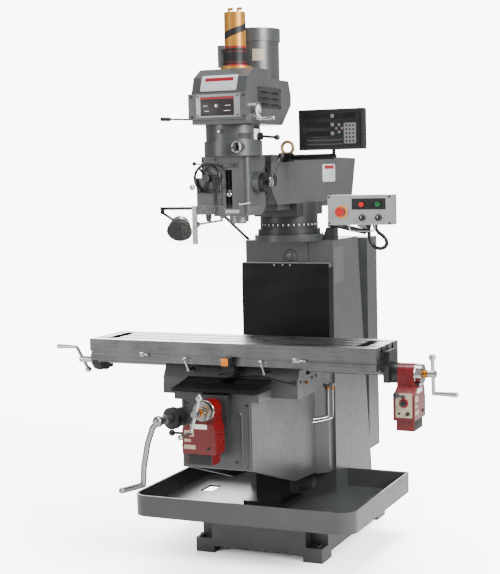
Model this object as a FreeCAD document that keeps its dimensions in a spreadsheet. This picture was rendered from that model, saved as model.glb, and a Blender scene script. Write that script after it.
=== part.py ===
import FreeCAD, Part
import math
import os
import re

import Sketcher

# Vertical milling machine with a knee, a long table and a swivelling ram.
#
# Frame, in millimetres: the origin is the centre of the base's foundation bolts, on the floor.
# +X runs along the table to the operator's right, +Y runs away from the operator, +Z is up.
# SIZES holds what can be changed; PLACES holds what follows from it.

SIZES = {
    # clearances
    "running_gap": 0.3,
    "fit_gap": 0.05,
    # base, foundation bolts and chip pan
    "base_wide": 634,
    "base_deep": 918,
    "base_high": 207,
    "base_wall": 28,
    "arch_high": 30,
    "foot_wide": 92,
    "foot_deep": 120,
    "foot_high": 66,
    "foot_pocket": 80,
    "hole_inset": 58,
    "hole_radius": 9,
    "bolt_inset": 24,
    "bolt_radius": 8,
    "bolt_head_radius": 13,
    "bolt_head_high": 12,
    "pan_half": 540,
    "pan_front": 677,
    "pan_rear": 154,
    "pan_deep": 97,
    "pan_wall": 6,
    "pan_floor": 8,
    "pan_corner": 75,
    "pan_hole_wide": 66,
    "pan_hole_deep": 120,
    "pan_hole_x": 398,
    "pan_hole_y": 118,
    # column, its ways, curtain and cabinet
    "column_half": 228,
    "column_front": 11,
    "column_rear_low": 522,
    "column_rear_top": 347,
    "column_top": 1447,
    "column_wall": 30,
    "panel_half": 102,
    "panel_proud": 6,
    "panel_low": 1344,
    "neck_high": 30,
    "neck_radius": 168,
    "way_half": 120,
    "way_proud": 50,
    "way_low": 245,
    "strip_low": 1318,
    "strip_high": 24,
    "curtain_thick": 9,
    "cabinet_half": 212,
    "cabinet_front": 545,
    "cabinet_deep": 158,
    "cabinet_low": 318,
    "cabinet_top": 1430,
    "cabinet_wall": 3,
    "cabinet_rail": 30,
    # elevating screw and its pedestal
    "lift_screw_y": 265,
    "lift_screw_radius": 19,
    "lift_screw_end": 110,
    "pedestal_half": 60,
    "pedestal_flange_half": 108,
    "pedestal_flange_thick": 24,
    "pedestal_top": 560,
    "lift_gear_radius": 58,
    "lift_gear_thick": 20,
    # knee
    "knee_half": 165,
    "knee_front": 870,
    "knee_front_low": 508,
    "knee_mid_y": 398,
    "knee_mid_low": 356,
    "knee_rear_low": 330,
    "knee_top": 840,
    "knee_wall": 24,
    "knee_flange_half": 200,
    "knee_flange_thick": 36,
    "knee_wing_half": 215,
    "knee_wing_deep": 60,
    "knee_wing_slope": 50,
    "crank_axis_z": 723,
    "crank_turn": 17.2,
    "crank_boss_reach": 655,
    "crank_boss_radius": 40,
    "crank_flange_radius": 47,
    "crank_flange_thick": 24,
    "crank_shaft_radius": 15,
    "crank_stub": 76,
    "crank_drop": 292,
    "crank_sweep": 104,
    "crank_rod_radius": 12,
    "crank_grip_long": 128,
    # cross feed
    "cross_screw_z": 782,
    "screw_radius": 14,
    "feed_unit_wide": 154,
    "feed_unit_thick": 92,
    "feed_unit_shift": 22,
    "feed_unit_drop": 186,
    "feed_shoulder_drop": 50,
    "feed_shoulder_slope": 30,
    "feed_neck_half": 44,
    "feed_base_wide": 118,
    "feed_base_high": 46,
    "feed_standoff": 42,
    "dial_radius": 42,
    "dial_long": 30,
    "hub_radius": 15,
    "hub_reach": 92,
    "ball_radius": 15,
    "ball_arm": 72,
    "grip_arm": 84,
    "arm_radius": 8,
    "grip_radius": 11,
    "grip_long": 96,
    "lever_long": 62,
    "lever_radius": 4,
    "lever_knob_radius": 13,
    # saddle
    "saddle_half": 324,
    "saddle_front": 735,
    "saddle_rear": 480,
    "saddle_slope": 32,
    "saddle_face_high": 36,
    "saddle_lip_gap": 3,
    "saddle_wing_low": 803,
    "tongue_half": 48,
    "tongue_flare": 14,
    "tongue_high": 39,
    "trough_half": 24,
    "nut_half": 22,
    "nut_long": 40,
    "lock_x": 182,
    "lock_radius": 7,
    "lock_reach": 36,
    "lock_rise": 52,
    "switch_wide": 42,
    "switch_high": 40,
    "switch_deep": 38,
    # table
    "table_long": 1372,
    "table_wide": 305,
    "table_y": 607.5,
    "table_top": 1038,
    "table_high": 115,
    "table_face_high": 98,
    "table_middle_half": 88,
    "slot_count": 3,
    "slot_pitch": 76,
    "slot_throat_half": 8,
    "slot_throat_deep": 15,
    "slot_wide_half": 14,
    "slot_wide_deep": 11,
    "groove_top": 982,
    "groove_high": 13,
    "groove_deep": 12,
    "band_inset": 4,
    "trough_long": 205,
    "trough_wide": 46,
    "trough_deep": 18,
    "trough_inset": 62,
    "table_screw_z": 918,
    "end_bracket_half": 68,
    "end_bracket_up": 100,
    "end_bracket_down": 38,
    "end_bracket_thick": 26,
    "bearing_radius": 44,
    "bearing_long": 30,
    "left_hub_reach": 75,
    "right_hub_reach": 52,
    # turret, ram and lifting ring
    "turret_high": 152,
    "turret_radius": 152,
    "turret_flange_high": 26,
    "ram_half": 110,
    "ram_high": 227,
    "ram_tail_drop": 15,
    "ram_rear_top": 679,
    "ram_rear_low": 610,
    "ram_front": 470,
    "ram_chamfer": 71,
    "ram_wall": 26,
    "ram_guide_half": 74,
    "ram_guide_deep": 28,
    "cheek_gap_half": 60,
    "nod_y": 430,
    "nod_radius": 100,
    "nod_pin_radius": 28,
    "flange_radius": 118,
    "flange_thick": 17,
    "flange_front": 505,
    "ring_radius": 29,
    "ring_wire": 8,
    "ring_top": 1930,
    "stem_radius": 11,
    # head
    "spindle_y": 586,
    "pivot_z": 1740,
    "housing_low": 1590,
    "housing_top": 1852,
    "housing_right": 96,
    "housing_left": 140,
    "housing_left_low": 72,
    "housing_front": 690,
    "gear_mid_z": 1917,
    "gear_radius": 128,
    "gear_neck_radius": 120,
    "gear_forward": 46,
    "gear_top": 1988,
    "belt_half": 128,
    "belt_top": 2229,
    "belt_floor": 19,
    "belt_front": 776,
    "belt_rear": 262,
    "belt_rear_low": 372,
    "belt_corner_high": 2125,
    "cover_half": 137,
    "cover_low": 2008,
    "cover_high": 112,
    "cover_thick": 16,
    "belt_wall": 8,
    "motor_y": 386,
    "motor_radius": 116,
    "motor_low": 2190,
    "motor_cap_low": 2362,
    "motor_top": 2420,
    "motor_cap_radius": 122,
    "bar_unit_radius": 47,
    "bar_unit_top": 2479,
    "bar_flange_radius": 68,
    "bar_flange_high": 14,
    # quill and spindle
    "quill_radius": 43,
    "quill_low": 1562,
    "quill_high": 250,
    "spindle_radius": 27,
    "spindle_nose_radius": 31,
    "spindle_nose_z": 1554,
    "collet_radius": 12.06,
    "collet_deep": 60,
    # head controls
    "feed_hub_x": 128,
    "feed_hub_y": 618,
    "feed_hub_z": 1735,
    "feed_hub_radius": 43,
    "feed_lever_long": 175,
    "wheel_x": 87,
    "wheel_y": 724,
    "wheel_z": 1757,
    "wheel_radius": 60,
    "wheel_rim": 6,
    "speed_wheel_y": 690,
    "speed_wheel_z": 2042,
    "speed_wheel_radius": 39,
    "brake_y": 700,
    "brake_z": 2000,
    "brake_long": 142,
    "range_z": 1935,
    "range_long": 70,
    "selector_x": 72,
    "selector_z": 1889,
    "selector_radius": 25,
    # splash shield
    "shield_x": 180,
    "shield_right": 118,
    "shield_y": 800,
    "shield_low": 1468,
    "shield_high": 176,
    "shield_thick": 4,
    "shield_wing": 190,
    "shield_bar_x": 119,
    # control panel
    "panel_wide": 290,
    "panel_high": 130,
    "panel_deep": 80,
    "panel_x": 532,
    "panel_y": 420,
    "panel_z": 1606,
    "button_radius": 13,
    "stop_radius": 20,
    "button_travel": 4,
    # readout
    "readout_wide": 300,
    "readout_high": 178,
    "readout_deep": 48,
    "readout_x": 386,
    "readout_y": 420,
    "readout_z": 1960,
    # lamp
    "lamp_base_y": 137,
    "lamp_base_z": 1363,
    "lamp_base_high": 55,
    "lamp_arm_radius": 7,
    "lamp_radius": 56,
    "lamp_thick": 24,
}

PLACES = {
    "hole_x": "base_wide / 2 - hole_inset",
    "hole_y": "base_deep / 2 - hole_inset",
    "bolt_x": "base_wide / 2 - bolt_inset",
    "bolt_y": "base_deep / 2 - bolt_inset",
    "pan_top": "base_high + pan_deep",
    "deck": "base_high + pan_floor",
    "way_front": "-column_front - way_proud",
    "curtain_back": "way_front - 1",
    "curtain_front": "way_front - curtain_thick",
    "curtain_low": "knee_top + 2",
    "turret_low": "column_top + neck_high + running_gap",
    "turret_top": "turret_low + turret_high",
    "ram_low": "turret_top + running_gap",
    "ram_top": "ram_low + ram_high",
    "knee_rear": "-column_front - running_gap",
    "saddle_low": "knee_top + running_gap",
    "table_low": "table_top - table_high",
    "lip_low": "table_top - table_face_high",
    "lip_y": "-table_y - table_middle_half - running_gap",
    "lock_z": "saddle_top - 8",
    "lock_y": "-saddle_front - lock_reach",
    "switch_y": "table_front - 3",
    "saddle_top": "table_low - running_gap",
    "table_front": "-table_y - table_wide / 2",
    "table_rear": "-table_y + table_wide / 2",
    "end_x": "table_long / 2",
    "spindle_front": "-spindle_y",
    "gear_y": "-spindle_y - gear_forward",
    "head_back": "-flange_front - running_gap",
    "selector_y": "gear_y - gear_radius - 8 + 16",
}


def bound(text):
    """The sheet's expression for a size written with plain names."""

    def swap(match):
        name = match.group()
        if name in PLACES:
            return "(" + bound(PLACES[name]) + ")"
        if name in SIZES:
            return "Sizes." + name
        return name

    return re.sub(r"[a-z][a-z0-9_]*", swap, str(text))


doc = FreeCAD.newDocument("vertical_milling_machine")
sheet = doc.addObject("Spreadsheet::Sheet", "Sizes")
for row, (alias, number) in enumerate(SIZES.items(), start=1):
    sheet.set("A" + str(row), alias)
    sheet.set("B" + str(row), str(number))
    sheet.setAlias("B" + str(row), alias)
doc.recompute()

def value(text):
    """The number of a size written with plain names."""
    return float(sheet.evalExpression(bound(text)))


def spot(x, y, z):
    """A point whose coordinates are written with plain names."""
    return FreeCAD.Vector(value(x), value(y), value(z))


NODES = []
PLANES = {"XY": "XY_Plane", "XZ": "XZ_Plane", "YZ": "YZ_Plane"}
TURNS = {
    "X": FreeCAD.Rotation(FreeCAD.Vector(0, 1, 0), 90),
    "Y": FreeCAD.Rotation(FreeCAD.Vector(1, 0, 0), -90),
    "Z": FreeCAD.Rotation(),
}


def bind(item, **sizes):
    """Tie an object's properties to the sheet."""
    for name, text in sizes.items():
        item.setExpression(name, bound(text))
    return item


def stand(item, x, y, z, axis="Z"):
    """Put an object's origin at a point and turn its own Z along an axis."""
    item.Placement.Rotation = TURNS[axis]
    for letter, text in zip("xyz", (x, y, z)):
        item.setExpression(".Placement.Base." + letter, bound(text))
    return item


def block(name, x, y, z):
    """A box from the low to the high end of each axis."""
    item = doc.addObject("Part::Box", name)
    sides = [f"({high}) - ({low})" for low, high in (x, y, z)]
    bind(item, Length=sides[0], Width=sides[1], Height=sides[2])
    return stand(item, x[0], y[0], z[0])


def rod(name, axis, x, y, z, radius, length):
    """A cylinder that starts at a point and runs along an axis."""
    item = bind(doc.addObject("Part::Cylinder", name), Radius=radius, Height=length)
    return stand(item, x, y, z, axis)


def cone(name, axis, x, y, z, low_radius, high_radius, length):
    """A cone frustum that starts at a point and runs along an axis."""
    item = doc.addObject("Part::Cone", name)
    bind(item, Radius1=low_radius, Radius2=high_radius, Height=length)
    return stand(item, x, y, z, axis)


def ball(name, x, y, z, radius):
    """A sphere about a point."""
    return stand(bind(doc.addObject("Part::Sphere", name), Radius=radius), x, y, z)


def hoop(name, axis, x, y, z, radius, wire):
    """A torus about an axis."""
    item = bind(doc.addObject("Part::Torus", name), Radius1=radius, Radius2=wire)
    return stand(item, x, y, z, axis)


def plate(name, plane, outline, low, high):
    """A PartDesign body: a closed outline on an origin plane, padded between two levels."""
    body = doc.addObject("PartDesign::Body", name)
    sketch = body.newObject("Sketcher::SketchObject", name + "_outline")
    role = PLANES[plane]
    level = f"-({high})" if plane == "XZ" else low
    origin = [f for f in body.Origin.OriginFeatures if f.Role == role][0]
    sketch.AttachmentSupport = [(origin, "")]
    sketch.MapMode = "FlatFace"
    sketch.setExpression(".AttachmentOffset.Base.z", bound(level))
    points = [FreeCAD.Vector(value(u), value(v), 0) for u, v in outline]
    count = len(points)
    for i, point in enumerate(points):
        sketch.addGeometry(Part.LineSegment(point, points[(i + 1) % count]), False)
    for i in range(count):
        sketch.addConstraint(Sketcher.Constraint("Coincident", i, 2, (i + 1) % count, 1))
    for i, (u, v) in enumerate(outline):
        for kind, text, number in (("DistanceX", u, points[i].x), ("DistanceY", v, points[i].y)):
            at = sketch.addConstraint(Sketcher.Constraint(kind, -1, 1, i, 1, number))
            sketch.setExpression(f"Constraints[{at}]", bound(text))
    pad = body.newObject("PartDesign::Pad", name + "_pad")
    pad.Profile = sketch
    bind(pad, Length=f"({high}) - ({low})")
    doc.recompute()
    return body


def round_edges(body, radius, wanted):
    """Round the edges of a body that a test picks."""
    base = body.Tip
    names = [f"Edge{i}" for i, edge in enumerate(base.Shape.Edges, start=1) if wanted(edge)]
    rounding = body.newObject("PartDesign::Fillet", body.Name + "_round")
    rounding.Base = (base, names)
    bind(rounding, Radius=radius)
    doc.recompute()
    return body


def upright(edge):
    """Whether an edge is a vertical straight line."""
    first, last = edge.Vertexes[0].Point, edge.Vertexes[-1].Point
    return abs(first.x - last.x) < 1e-6 and abs(first.y - last.y) < 1e-6


def lengthwise(edge):
    """Whether an edge is a straight line along X."""
    first, last = edge.Vertexes[0].Point, edge.Vertexes[-1].Point
    return abs(first.y - last.y) < 1e-6 and abs(first.z - last.z) < 1e-6


def join(name, pieces, refine=True):
    """One solid of overlapping pieces."""
    item = doc.addObject("Part::MultiFuse", name)
    item.Shapes = pieces
    item.Refine = refine
    return item


def cut(name, base, tools, refine=True):
    """A piece with tools taken out of it."""
    item = doc.addObject("Part::Cut", name)
    item.Base = base
    item.Tool = tools[0] if len(tools) == 1 else join(name + "_tools", tools)
    item.Refine = refine
    return item


def group(name, pieces):
    """Several separate solids in one sub-part."""
    item = doc.addObject("Part::Compound", name)
    item.Links = pieces
    return item


def bar(name, start, end, radius):
    """A straight round bar with ball ends, between two points."""
    run = end - start
    shape = Part.makeCylinder(radius, run.Length, start, run)
    for point in (start, end):
        shape = shape.fuse(Part.makeSphere(radius, point))
    item = doc.addObject("Part::Feature", name)
    item.Shape = shape.removeSplitter()
    return item


def rail(name, points, radius):
    """A bent round bar through a list of points."""
    shape = Part.makeSphere(radius, points[0])
    for start, end in zip(points, points[1:]):
        run = end - start
        shape = shape.fuse(Part.makeCylinder(radius, run.Length, start, run))
        shape = shape.fuse(Part.makeSphere(radius, end))
    item = doc.addObject("Part::Feature", name)
    item.Shape = shape.removeSplitter()
    return item


def tube_path(points, radius):
    """Straight runs joined by tangent arcs, each arc as large as its two runs allow."""
    edges = []
    at = points[0]
    for before, corner, after in zip(points, points[1:], points[2:]):
        inward = (before - corner).normalize()
        outward = (after - corner).normalize()
        shorter = min((before - corner).Length, (after - corner).Length)
        trim = 0.45 * shorter
        start, end = corner + inward * trim, corner + outward * trim
        turn = math.pi - inward.getAngle(outward)
        bend = trim / math.tan(turn / 2)
        to_centre = (inward + outward).normalize()
        middle = corner + to_centre * (bend / math.cos(turn / 2) - bend)
        edges.append(Part.LineSegment(at, start).toShape())
        edges.append(Part.Arc(start, middle, end).toShape())
        print(f"cord arc radius {bend:.1f} for diameter {2 * radius:.1f}")
        at = end
    edges.append(Part.LineSegment(at, points[-1]).toShape())
    return Part.Wire(edges)


def cord(name, points, radius):
    """A cord: a round section swept along its path."""
    path = tube_path(points, radius)
    first = points[1] - points[0]
    ring = Part.Wire([Part.makeCircle(radius, points[0], first)])
    shape = path.makePipeShell([ring], True, True)
    wanted = math.pi * radius**2 * path.Length
    print(f"{name}: length {path.Length:.0f}, volume {shape.Volume / wanted:.4f} of section times length")
    item = doc.addObject("Part::Feature", name)
    item.Shape = shape
    return item


def node(item, label=None):
    """Mark an object as a finished sub-part."""
    item.Label = label or item.Name
    NODES.append(item)
    return item


def corners(x, y):
    """The four points at plus and minus x and y."""
    return [(f"{i}({x})", f"{j}({y})") for i in ("-", "") for j in ("-", "")]


# ---------------------------------------------------------------- base and pan


def make_base():
    """The foot casting: four feet, a hollow underside, corner pockets and a screw well."""
    solid = block(
        "base_block",
        ("-base_wide / 2", "base_wide / 2"),
        ("-base_deep / 2", "base_deep / 2"),
        ("0", "base_high"),
    )
    inside = block(
        "base_inside",
        ("-base_wide / 2 + foot_wide", "base_wide / 2 - foot_wide"),
        ("-base_deep / 2 + base_wall", "base_deep / 2 - base_wall"),
        ("-1", "base_high - base_wall"),
    )
    arch_x = block(
        "base_arch_front",
        ("-base_wide / 2 + foot_wide", "base_wide / 2 - foot_wide"),
        ("-base_deep / 2 - 1", "base_deep / 2 + 1"),
        ("-1", "arch_high"),
    )
    arch_y = block(
        "base_arch_side",
        ("-base_wide / 2 - 1", "base_wide / 2 + 1"),
        ("-base_deep / 2 + foot_deep", "base_deep / 2 - foot_deep"),
        ("-1", "arch_high"),
    )
    well = rod("base_screw_well", "Z", "0", "-lift_screw_y", "-1", "lift_screw_radius + 6", "base_high + 2")
    tools = [inside, arch_x, arch_y, well]
    pockets = zip(corners("base_wide / 2 - foot_pocket", "base_deep / 2 - foot_pocket"), range(4))
    for (x, y), i in pockets:
        sign_x, sign_y = x[: x.index("(")], y[: y.index("(")]
        outer_x = f"{sign_x}(base_wide / 2 + 1)"
        outer_y = f"{sign_y}(base_deep / 2 + 1)"
        span_x = (outer_x, x) if sign_x else (x, outer_x)
        span_y = (outer_y, y) if sign_y else (y, outer_y)
        tools.append(block(f"base_pocket_{i}", span_x, span_y, ("foot_high", "foot_high + foot_pocket")))
        for tag in ("hole", "bolt"):
            at_x, at_y = f"{sign_x}({tag}_x)", f"{sign_y}({tag}_y)"
            radius = f"{tag}_radius" if tag == "hole" else f"{tag}_radius + fit_gap"
            tools.append(rod(f"base_{tag}_{i}", "Z", at_x, at_y, "-1", radius, "foot_high + 2"))
    node(cut("base_casting", solid, tools))


def make_bolts():
    """The levelling bolts: a shank through each foot, a washer and a head on it."""
    bolts = []
    for i, (x, y) in enumerate(corners("bolt_x", "bolt_y")):
        shank = rod(f"bolt_shank_{i}", "Z", x, y, "0", "bolt_radius", "foot_high + 1")
        washer = rod(f"bolt_washer_{i}", "Z", x, y, "foot_high", "bolt_head_radius + 5", "4")
        head = bind(doc.addObject("Part::Prism", f"bolt_head_{i}"), Circumradius="bolt_head_radius")
        bind(head, Height="bolt_head_high")
        stand(head, x, y, "foot_high + 3")
        bolts.append(join(f"bolt_{i}", [shank, washer, head]))
    node(group("levelling_bolts", bolts))


def make_pan():
    """The chip pan: a tray on the base, open round the column, with a drain hole in its floor."""
    outer = plate(
        "pan_tray",
        "XY",
        [
            ("-pan_half", "-pan_front"),
            ("pan_half", "-pan_front"),
            ("pan_half", "pan_rear"),
            ("-pan_half", "pan_rear"),
        ],
        "base_high",
        "pan_top",
    )
    round_edges(outer, "pan_corner", lambda e: upright(e) and e.Vertexes[0].Y < 0)
    inner = plate(
        "pan_inside",
        "XY",
        [
            ("-pan_half + pan_wall", "-pan_front + pan_wall"),
            ("pan_half - pan_wall", "-pan_front + pan_wall"),
            ("pan_half - pan_wall", "pan_rear - pan_wall"),
            ("-pan_half + pan_wall", "pan_rear - pan_wall"),
        ],
        "deck",
        "pan_top + 1",
    )
    round_edges(inner, "pan_corner - pan_wall", lambda e: upright(e) and e.Vertexes[0].Y < 0)
    seat = block(
        "pan_column_seat",
        ("-column_half - running_gap", "column_half + running_gap"),
        ("-column_front - running_gap", "pan_rear + 1"),
        ("base_high - 1", "pan_top + 1"),
    )
    drain = block(
        "pan_drain",
        ("-pan_hole_x - pan_hole_wide / 2", "-pan_hole_x + pan_hole_wide / 2"),
        ("-pan_hole_y - pan_hole_deep / 2", "-pan_hole_y + pan_hole_deep / 2"),
        ("base_high - 1", "deck + 1"),
    )
    well = rod("pan_screw_well", "Z", "0", "-lift_screw_y", "base_high - 1", "lift_screw_radius + 6", "pan_floor + 2")
    node(cut("chip_pan", outer, [inner, seat, drain, well]))


# ---------------------------------------------------------------- column


def make_column():
    """The column: a hollow casting with a sloping rear, a knee way and a round neck."""
    shell = plate(
        "column_shell",
        "YZ",
        [
            ("-column_front", "base_high"),
            ("column_rear_low", "base_high"),
            ("column_rear_top", "column_top"),
            ("-column_front", "column_top"),
        ],
        "-column_half",
        "column_half",
    )
    inside = plate(
        "column_inside",
        "YZ",
        [
            ("-column_front + column_wall", "base_high - 1"),
            ("column_rear_low - column_wall", "base_high - 1"),
            ("column_rear_top - column_wall", "column_top - column_wall"),
            ("-column_front + column_wall", "column_top - column_wall"),
        ],
        "-column_half + column_wall",
        "column_half - column_wall",
    )
    hollow = cut("column_hollow", shell, [inside])
    way = block(
        "column_way",
        ("-way_half", "way_half"),
        ("way_front", "-column_front + 1"),
        ("way_low", "strip_low"),
    )
    panel = plate(
        "column_panel",
        "XZ",
        [
            ("-panel_half", "panel_low"),
            ("panel_half", "panel_low"),
            ("panel_half", "column_top - 6"),
            ("-panel_half", "column_top - 6"),
        ],
        "-column_front - panel_proud",
        "-column_front + 1",
    )
    neck = rod("column_neck", "Z", "0", "0", "column_top - 1", "neck_radius", "neck_high + 1")
    node(join("column_casting", [hollow, way, panel, neck]))


def make_curtain():
    """The clamp strip across the column and the rubber curtain that hangs from it."""
    strip = block(
        "strip_bar",
        ("-column_half + 3", "column_half - 3"),
        ("way_front", "-column_front"),
        ("strip_low + running_gap", "strip_low + strip_high"),
    )
    level = "strip_low + strip_high / 2"
    screws = []
    holes = []
    for i, x in enumerate(("-52", "-8", "30")):
        screws.append(rod(f"strip_screw_{i}", "Y", x, "curtain_front - 3", level, "5", "curtain_thick + 8"))
        holes.append(rod(f"curtain_hole_{i}", "Y", x, "curtain_front - 2", level, "5 + running_gap", "curtain_thick + 8"))
    node(join("way_cover_strip", [strip] + screws))
    sheet_body = plate(
        "curtain_sheet",
        "YZ",
        [
            ("curtain_back", "curtain_low"),
            ("curtain_back", "strip_low - 2"),
            ("way_front - running_gap", "strip_low + strip_high - 2"),
            ("curtain_front", "strip_low + strip_high - 2"),
            ("curtain_back - curtain_thick - 6", "strip_low - 22"),
            ("curtain_back - curtain_thick", "curtain_low"),
        ],
        "-column_half",
        "column_half - 1",
    )
    node(cut("column_curtain", sheet_body, holes))


def make_cabinet():
    """The electrical cabinet behind the column, a sheet box hung on two rails."""
    back = "cabinet_front + cabinet_deep"
    case = block(
        "cabinet_case",
        ("-cabinet_half", "cabinet_half"),
        ("cabinet_front", back),
        ("cabinet_low", "cabinet_top"),
    )
    inside = block(
        "cabinet_inside",
        ("-cabinet_half + cabinet_wall", "cabinet_half - cabinet_wall"),
        ("cabinet_front + cabinet_wall", f"{back} - cabinet_wall"),
        ("cabinet_low + cabinet_wall", "cabinet_top - cabinet_wall"),
    )
    box = cut("cabinet_box", case, [inside])
    rails = []
    slope = "(column_rear_low - column_rear_top) / (column_top - base_high)"
    for tag, level in (("low", "cabinet_low + 60"), ("high", "cabinet_top - 90")):
        seat = f"column_rear_low - ({slope}) * ({level} + cabinet_rail - base_high)"
        rails.append(
            plate(
                f"cabinet_rail_{tag}",
                "YZ",
                [
                    (f"{seat} + ({slope}) * cabinet_rail", level),
                    ("cabinet_front + 1", level),
                    ("cabinet_front + 1", f"{level} + cabinet_rail"),
                    (seat, f"{level} + cabinet_rail"),
                ],
                "-cabinet_half / 2",
                "cabinet_half / 2",
            )
        )
    node(join("electrical_cabinet", [box] + rails))


def make_pedestal():
    """The pedestal under the knee that holds the elevating nut."""
    flange = block(
        "pedestal_flange",
        ("-pedestal_flange_half", "pedestal_flange_half"),
        ("-lift_screw_y - pedestal_flange_half", "-lift_screw_y + pedestal_flange_half"),
        ("deck", "deck + pedestal_flange_thick"),
    )
    post = block(
        "pedestal_post",
        ("-pedestal_half", "pedestal_half"),
        ("-lift_screw_y - pedestal_half", "-lift_screw_y + pedestal_half"),
        ("deck", "pedestal_top"),
    )
    bore = rod(
        "pedestal_bore", "Z", "0", "-lift_screw_y", "deck - 1", "lift_screw_radius + fit_gap", "pedestal_top - deck + 2"
    )
    solid = join("pedestal_solid", [flange, post])
    node(cut("knee_screw_pedestal", solid, [bore]))


def make_brackets():
    """The lamp's foot on the column's left shoulder and the panel arm's bracket on its right."""
    plate_left = block(
        "lamp_foot_plate",
        ("-column_half - 12", "-column_half"),
        ("lamp_base_y - 26", "lamp_base_y + 26"),
        ("lamp_base_z", "lamp_base_z + 40"),
    )
    foot = cone(
        "lamp_foot_cone", "Z", "-column_half - 34", "lamp_base_y", "lamp_base_z", "30", "24", "lamp_base_high"
    )
    lamp_pin = rod(
        "lamp_foot_pin", "Z", "-column_half - 34", "lamp_base_y", "lamp_base_z + lamp_base_high - 1", "8", "21"
    )
    lamp_foot = join("lamp_foot", [plate_left, foot, lamp_pin])
    wedge = plate(
        "panel_wedge",
        "XZ",
        [
            ("column_half - 56", "column_top"),
            ("column_half + 6", "column_top"),
            ("column_half + 6", "column_top + 60"),
            ("column_half - 34", "column_top + 60"),
        ],
        "-6",
        "54",
    )
    panel_pin = rod("panel_bracket_pin", "Z", "column_half - 14", "24", "column_top + 59", "9", "30")
    node(group("column_brackets", [lamp_foot, join("panel_foot", [wedge, panel_pin])]))


# ---------------------------------------------------------------- knee


def crank_frame():
    """The knee crank's axis: the point over the elevating screw and the unit vector out of the knee."""
    turn = math.radians(value("crank_turn"))
    return spot("0", "-lift_screw_y", "crank_axis_z"), FreeCAD.Vector(-math.sin(turn), -math.cos(turn), 0)


def crank_rod(name, start, length, radius):
    """A round piece on the knee crank's axis."""
    origin, out = crank_frame()
    item = doc.addObject("Part::Feature", name)
    item.Shape = Part.makeCylinder(value(radius), value(length), origin + out * value(start), out)
    return item


def make_knee():
    """The knee: a hollow casting, open below for the pedestal, with a slot for the column's way."""
    shell = plate(
        "knee_shell",
        "YZ",
        [
            ("-knee_front", "knee_front_low"),
            ("-knee_mid_y", "knee_mid_low"),
            ("knee_rear", "knee_rear_low"),
            ("knee_rear", "knee_top"),
            ("-knee_front", "knee_top"),
        ],
        "-knee_half",
        "knee_half",
    )
    wing = plate(
        "knee_wing",
        "XY",
        [
            ("-knee_half", "knee_rear - knee_wing_deep - knee_wing_slope"),
            ("knee_half", "knee_rear - knee_wing_deep - knee_wing_slope"),
            ("knee_wing_half", "knee_rear - knee_wing_deep"),
            ("knee_wing_half", "knee_rear"),
            ("-knee_wing_half", "knee_rear"),
            ("-knee_wing_half", "knee_rear - knee_wing_deep"),
        ],
        "knee_rear_low",
        "knee_top",
    )
    flange = block(
        "knee_flange",
        ("-knee_flange_half", "knee_flange_half"),
        ("-knee_front", "knee_rear"),
        ("knee_top - knee_flange_thick", "knee_top"),
    )
    boss = crank_rod("knee_boss", "crank_boss_reach - 120", "120", "crank_boss_radius")
    solid = join("knee_solid", [shell, wing, flange, boss])
    inside = block(
        "knee_inside",
        ("-knee_half + knee_wall", "knee_half - knee_wall"),
        ("-knee_front + knee_wall", "way_front - knee_wall - 16"),
        ("knee_rear_low - 30", "knee_top - knee_flange_thick"),
    )
    way = block(
        "knee_way_slot",
        ("-way_half - running_gap", "way_half + running_gap"),
        ("way_front - running_gap", "knee_rear + 1"),
        ("knee_rear_low - 1", "knee_top + 1"),
    )
    nut_slot = block(
        "knee_nut_slot",
        ("-nut_half - 8", "nut_half + 8"),
        ("-knee_front + 2 * knee_wall + 20", "way_front - knee_wall - 40"),
        ("knee_top - knee_flange_thick - 1", "knee_top + 1"),
    )
    screw_hole = rod(
        "knee_screw_hole",
        "Y",
        "0",
        "-knee_front - 1",
        "cross_screw_z",
        "screw_radius + fit_gap",
        "knee_wall + 2",
    )
    shaft_hole = crank_rod("knee_shaft_hole", "400", "crank_boss_reach - 400 + 1", "crank_shaft_radius + fit_gap")
    node(cut("knee_casting", solid, [inside, way, nut_slot, screw_hole, shaft_hole]))


def make_knee_bearings():
    """The bearing plates on the knee's front: one for the cross screw, one on the crank's boss."""
    pad = block(
        "cross_bearing_plate",
        ("-feed_neck_half - 16", "feed_neck_half + 24"),
        ("-knee_front - feed_standoff", "-knee_front"),
        ("cross_screw_z - 72", "knee_top - 4"),
    )
    pad_hole = rod(
        "cross_bearing_hole",
        "Y",
        "0",
        "-knee_front - feed_standoff - 1",
        "cross_screw_z",
        "screw_radius + fit_gap",
        "feed_standoff + 2",
    )
    ring = crank_rod("crank_bearing_ring", "crank_boss_reach", "crank_flange_thick", "crank_flange_radius")
    ring_hole = crank_rod(
        "crank_bearing_hole", "crank_boss_reach - 1", "crank_flange_thick + 2", "crank_shaft_radius + fit_gap"
    )
    cross = cut("cross_bearing", pad, [pad_hole])
    crank = cut("crank_bearing", ring, [ring_hole])
    node(group("knee_front_bearings", [cross, crank]))


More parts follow.
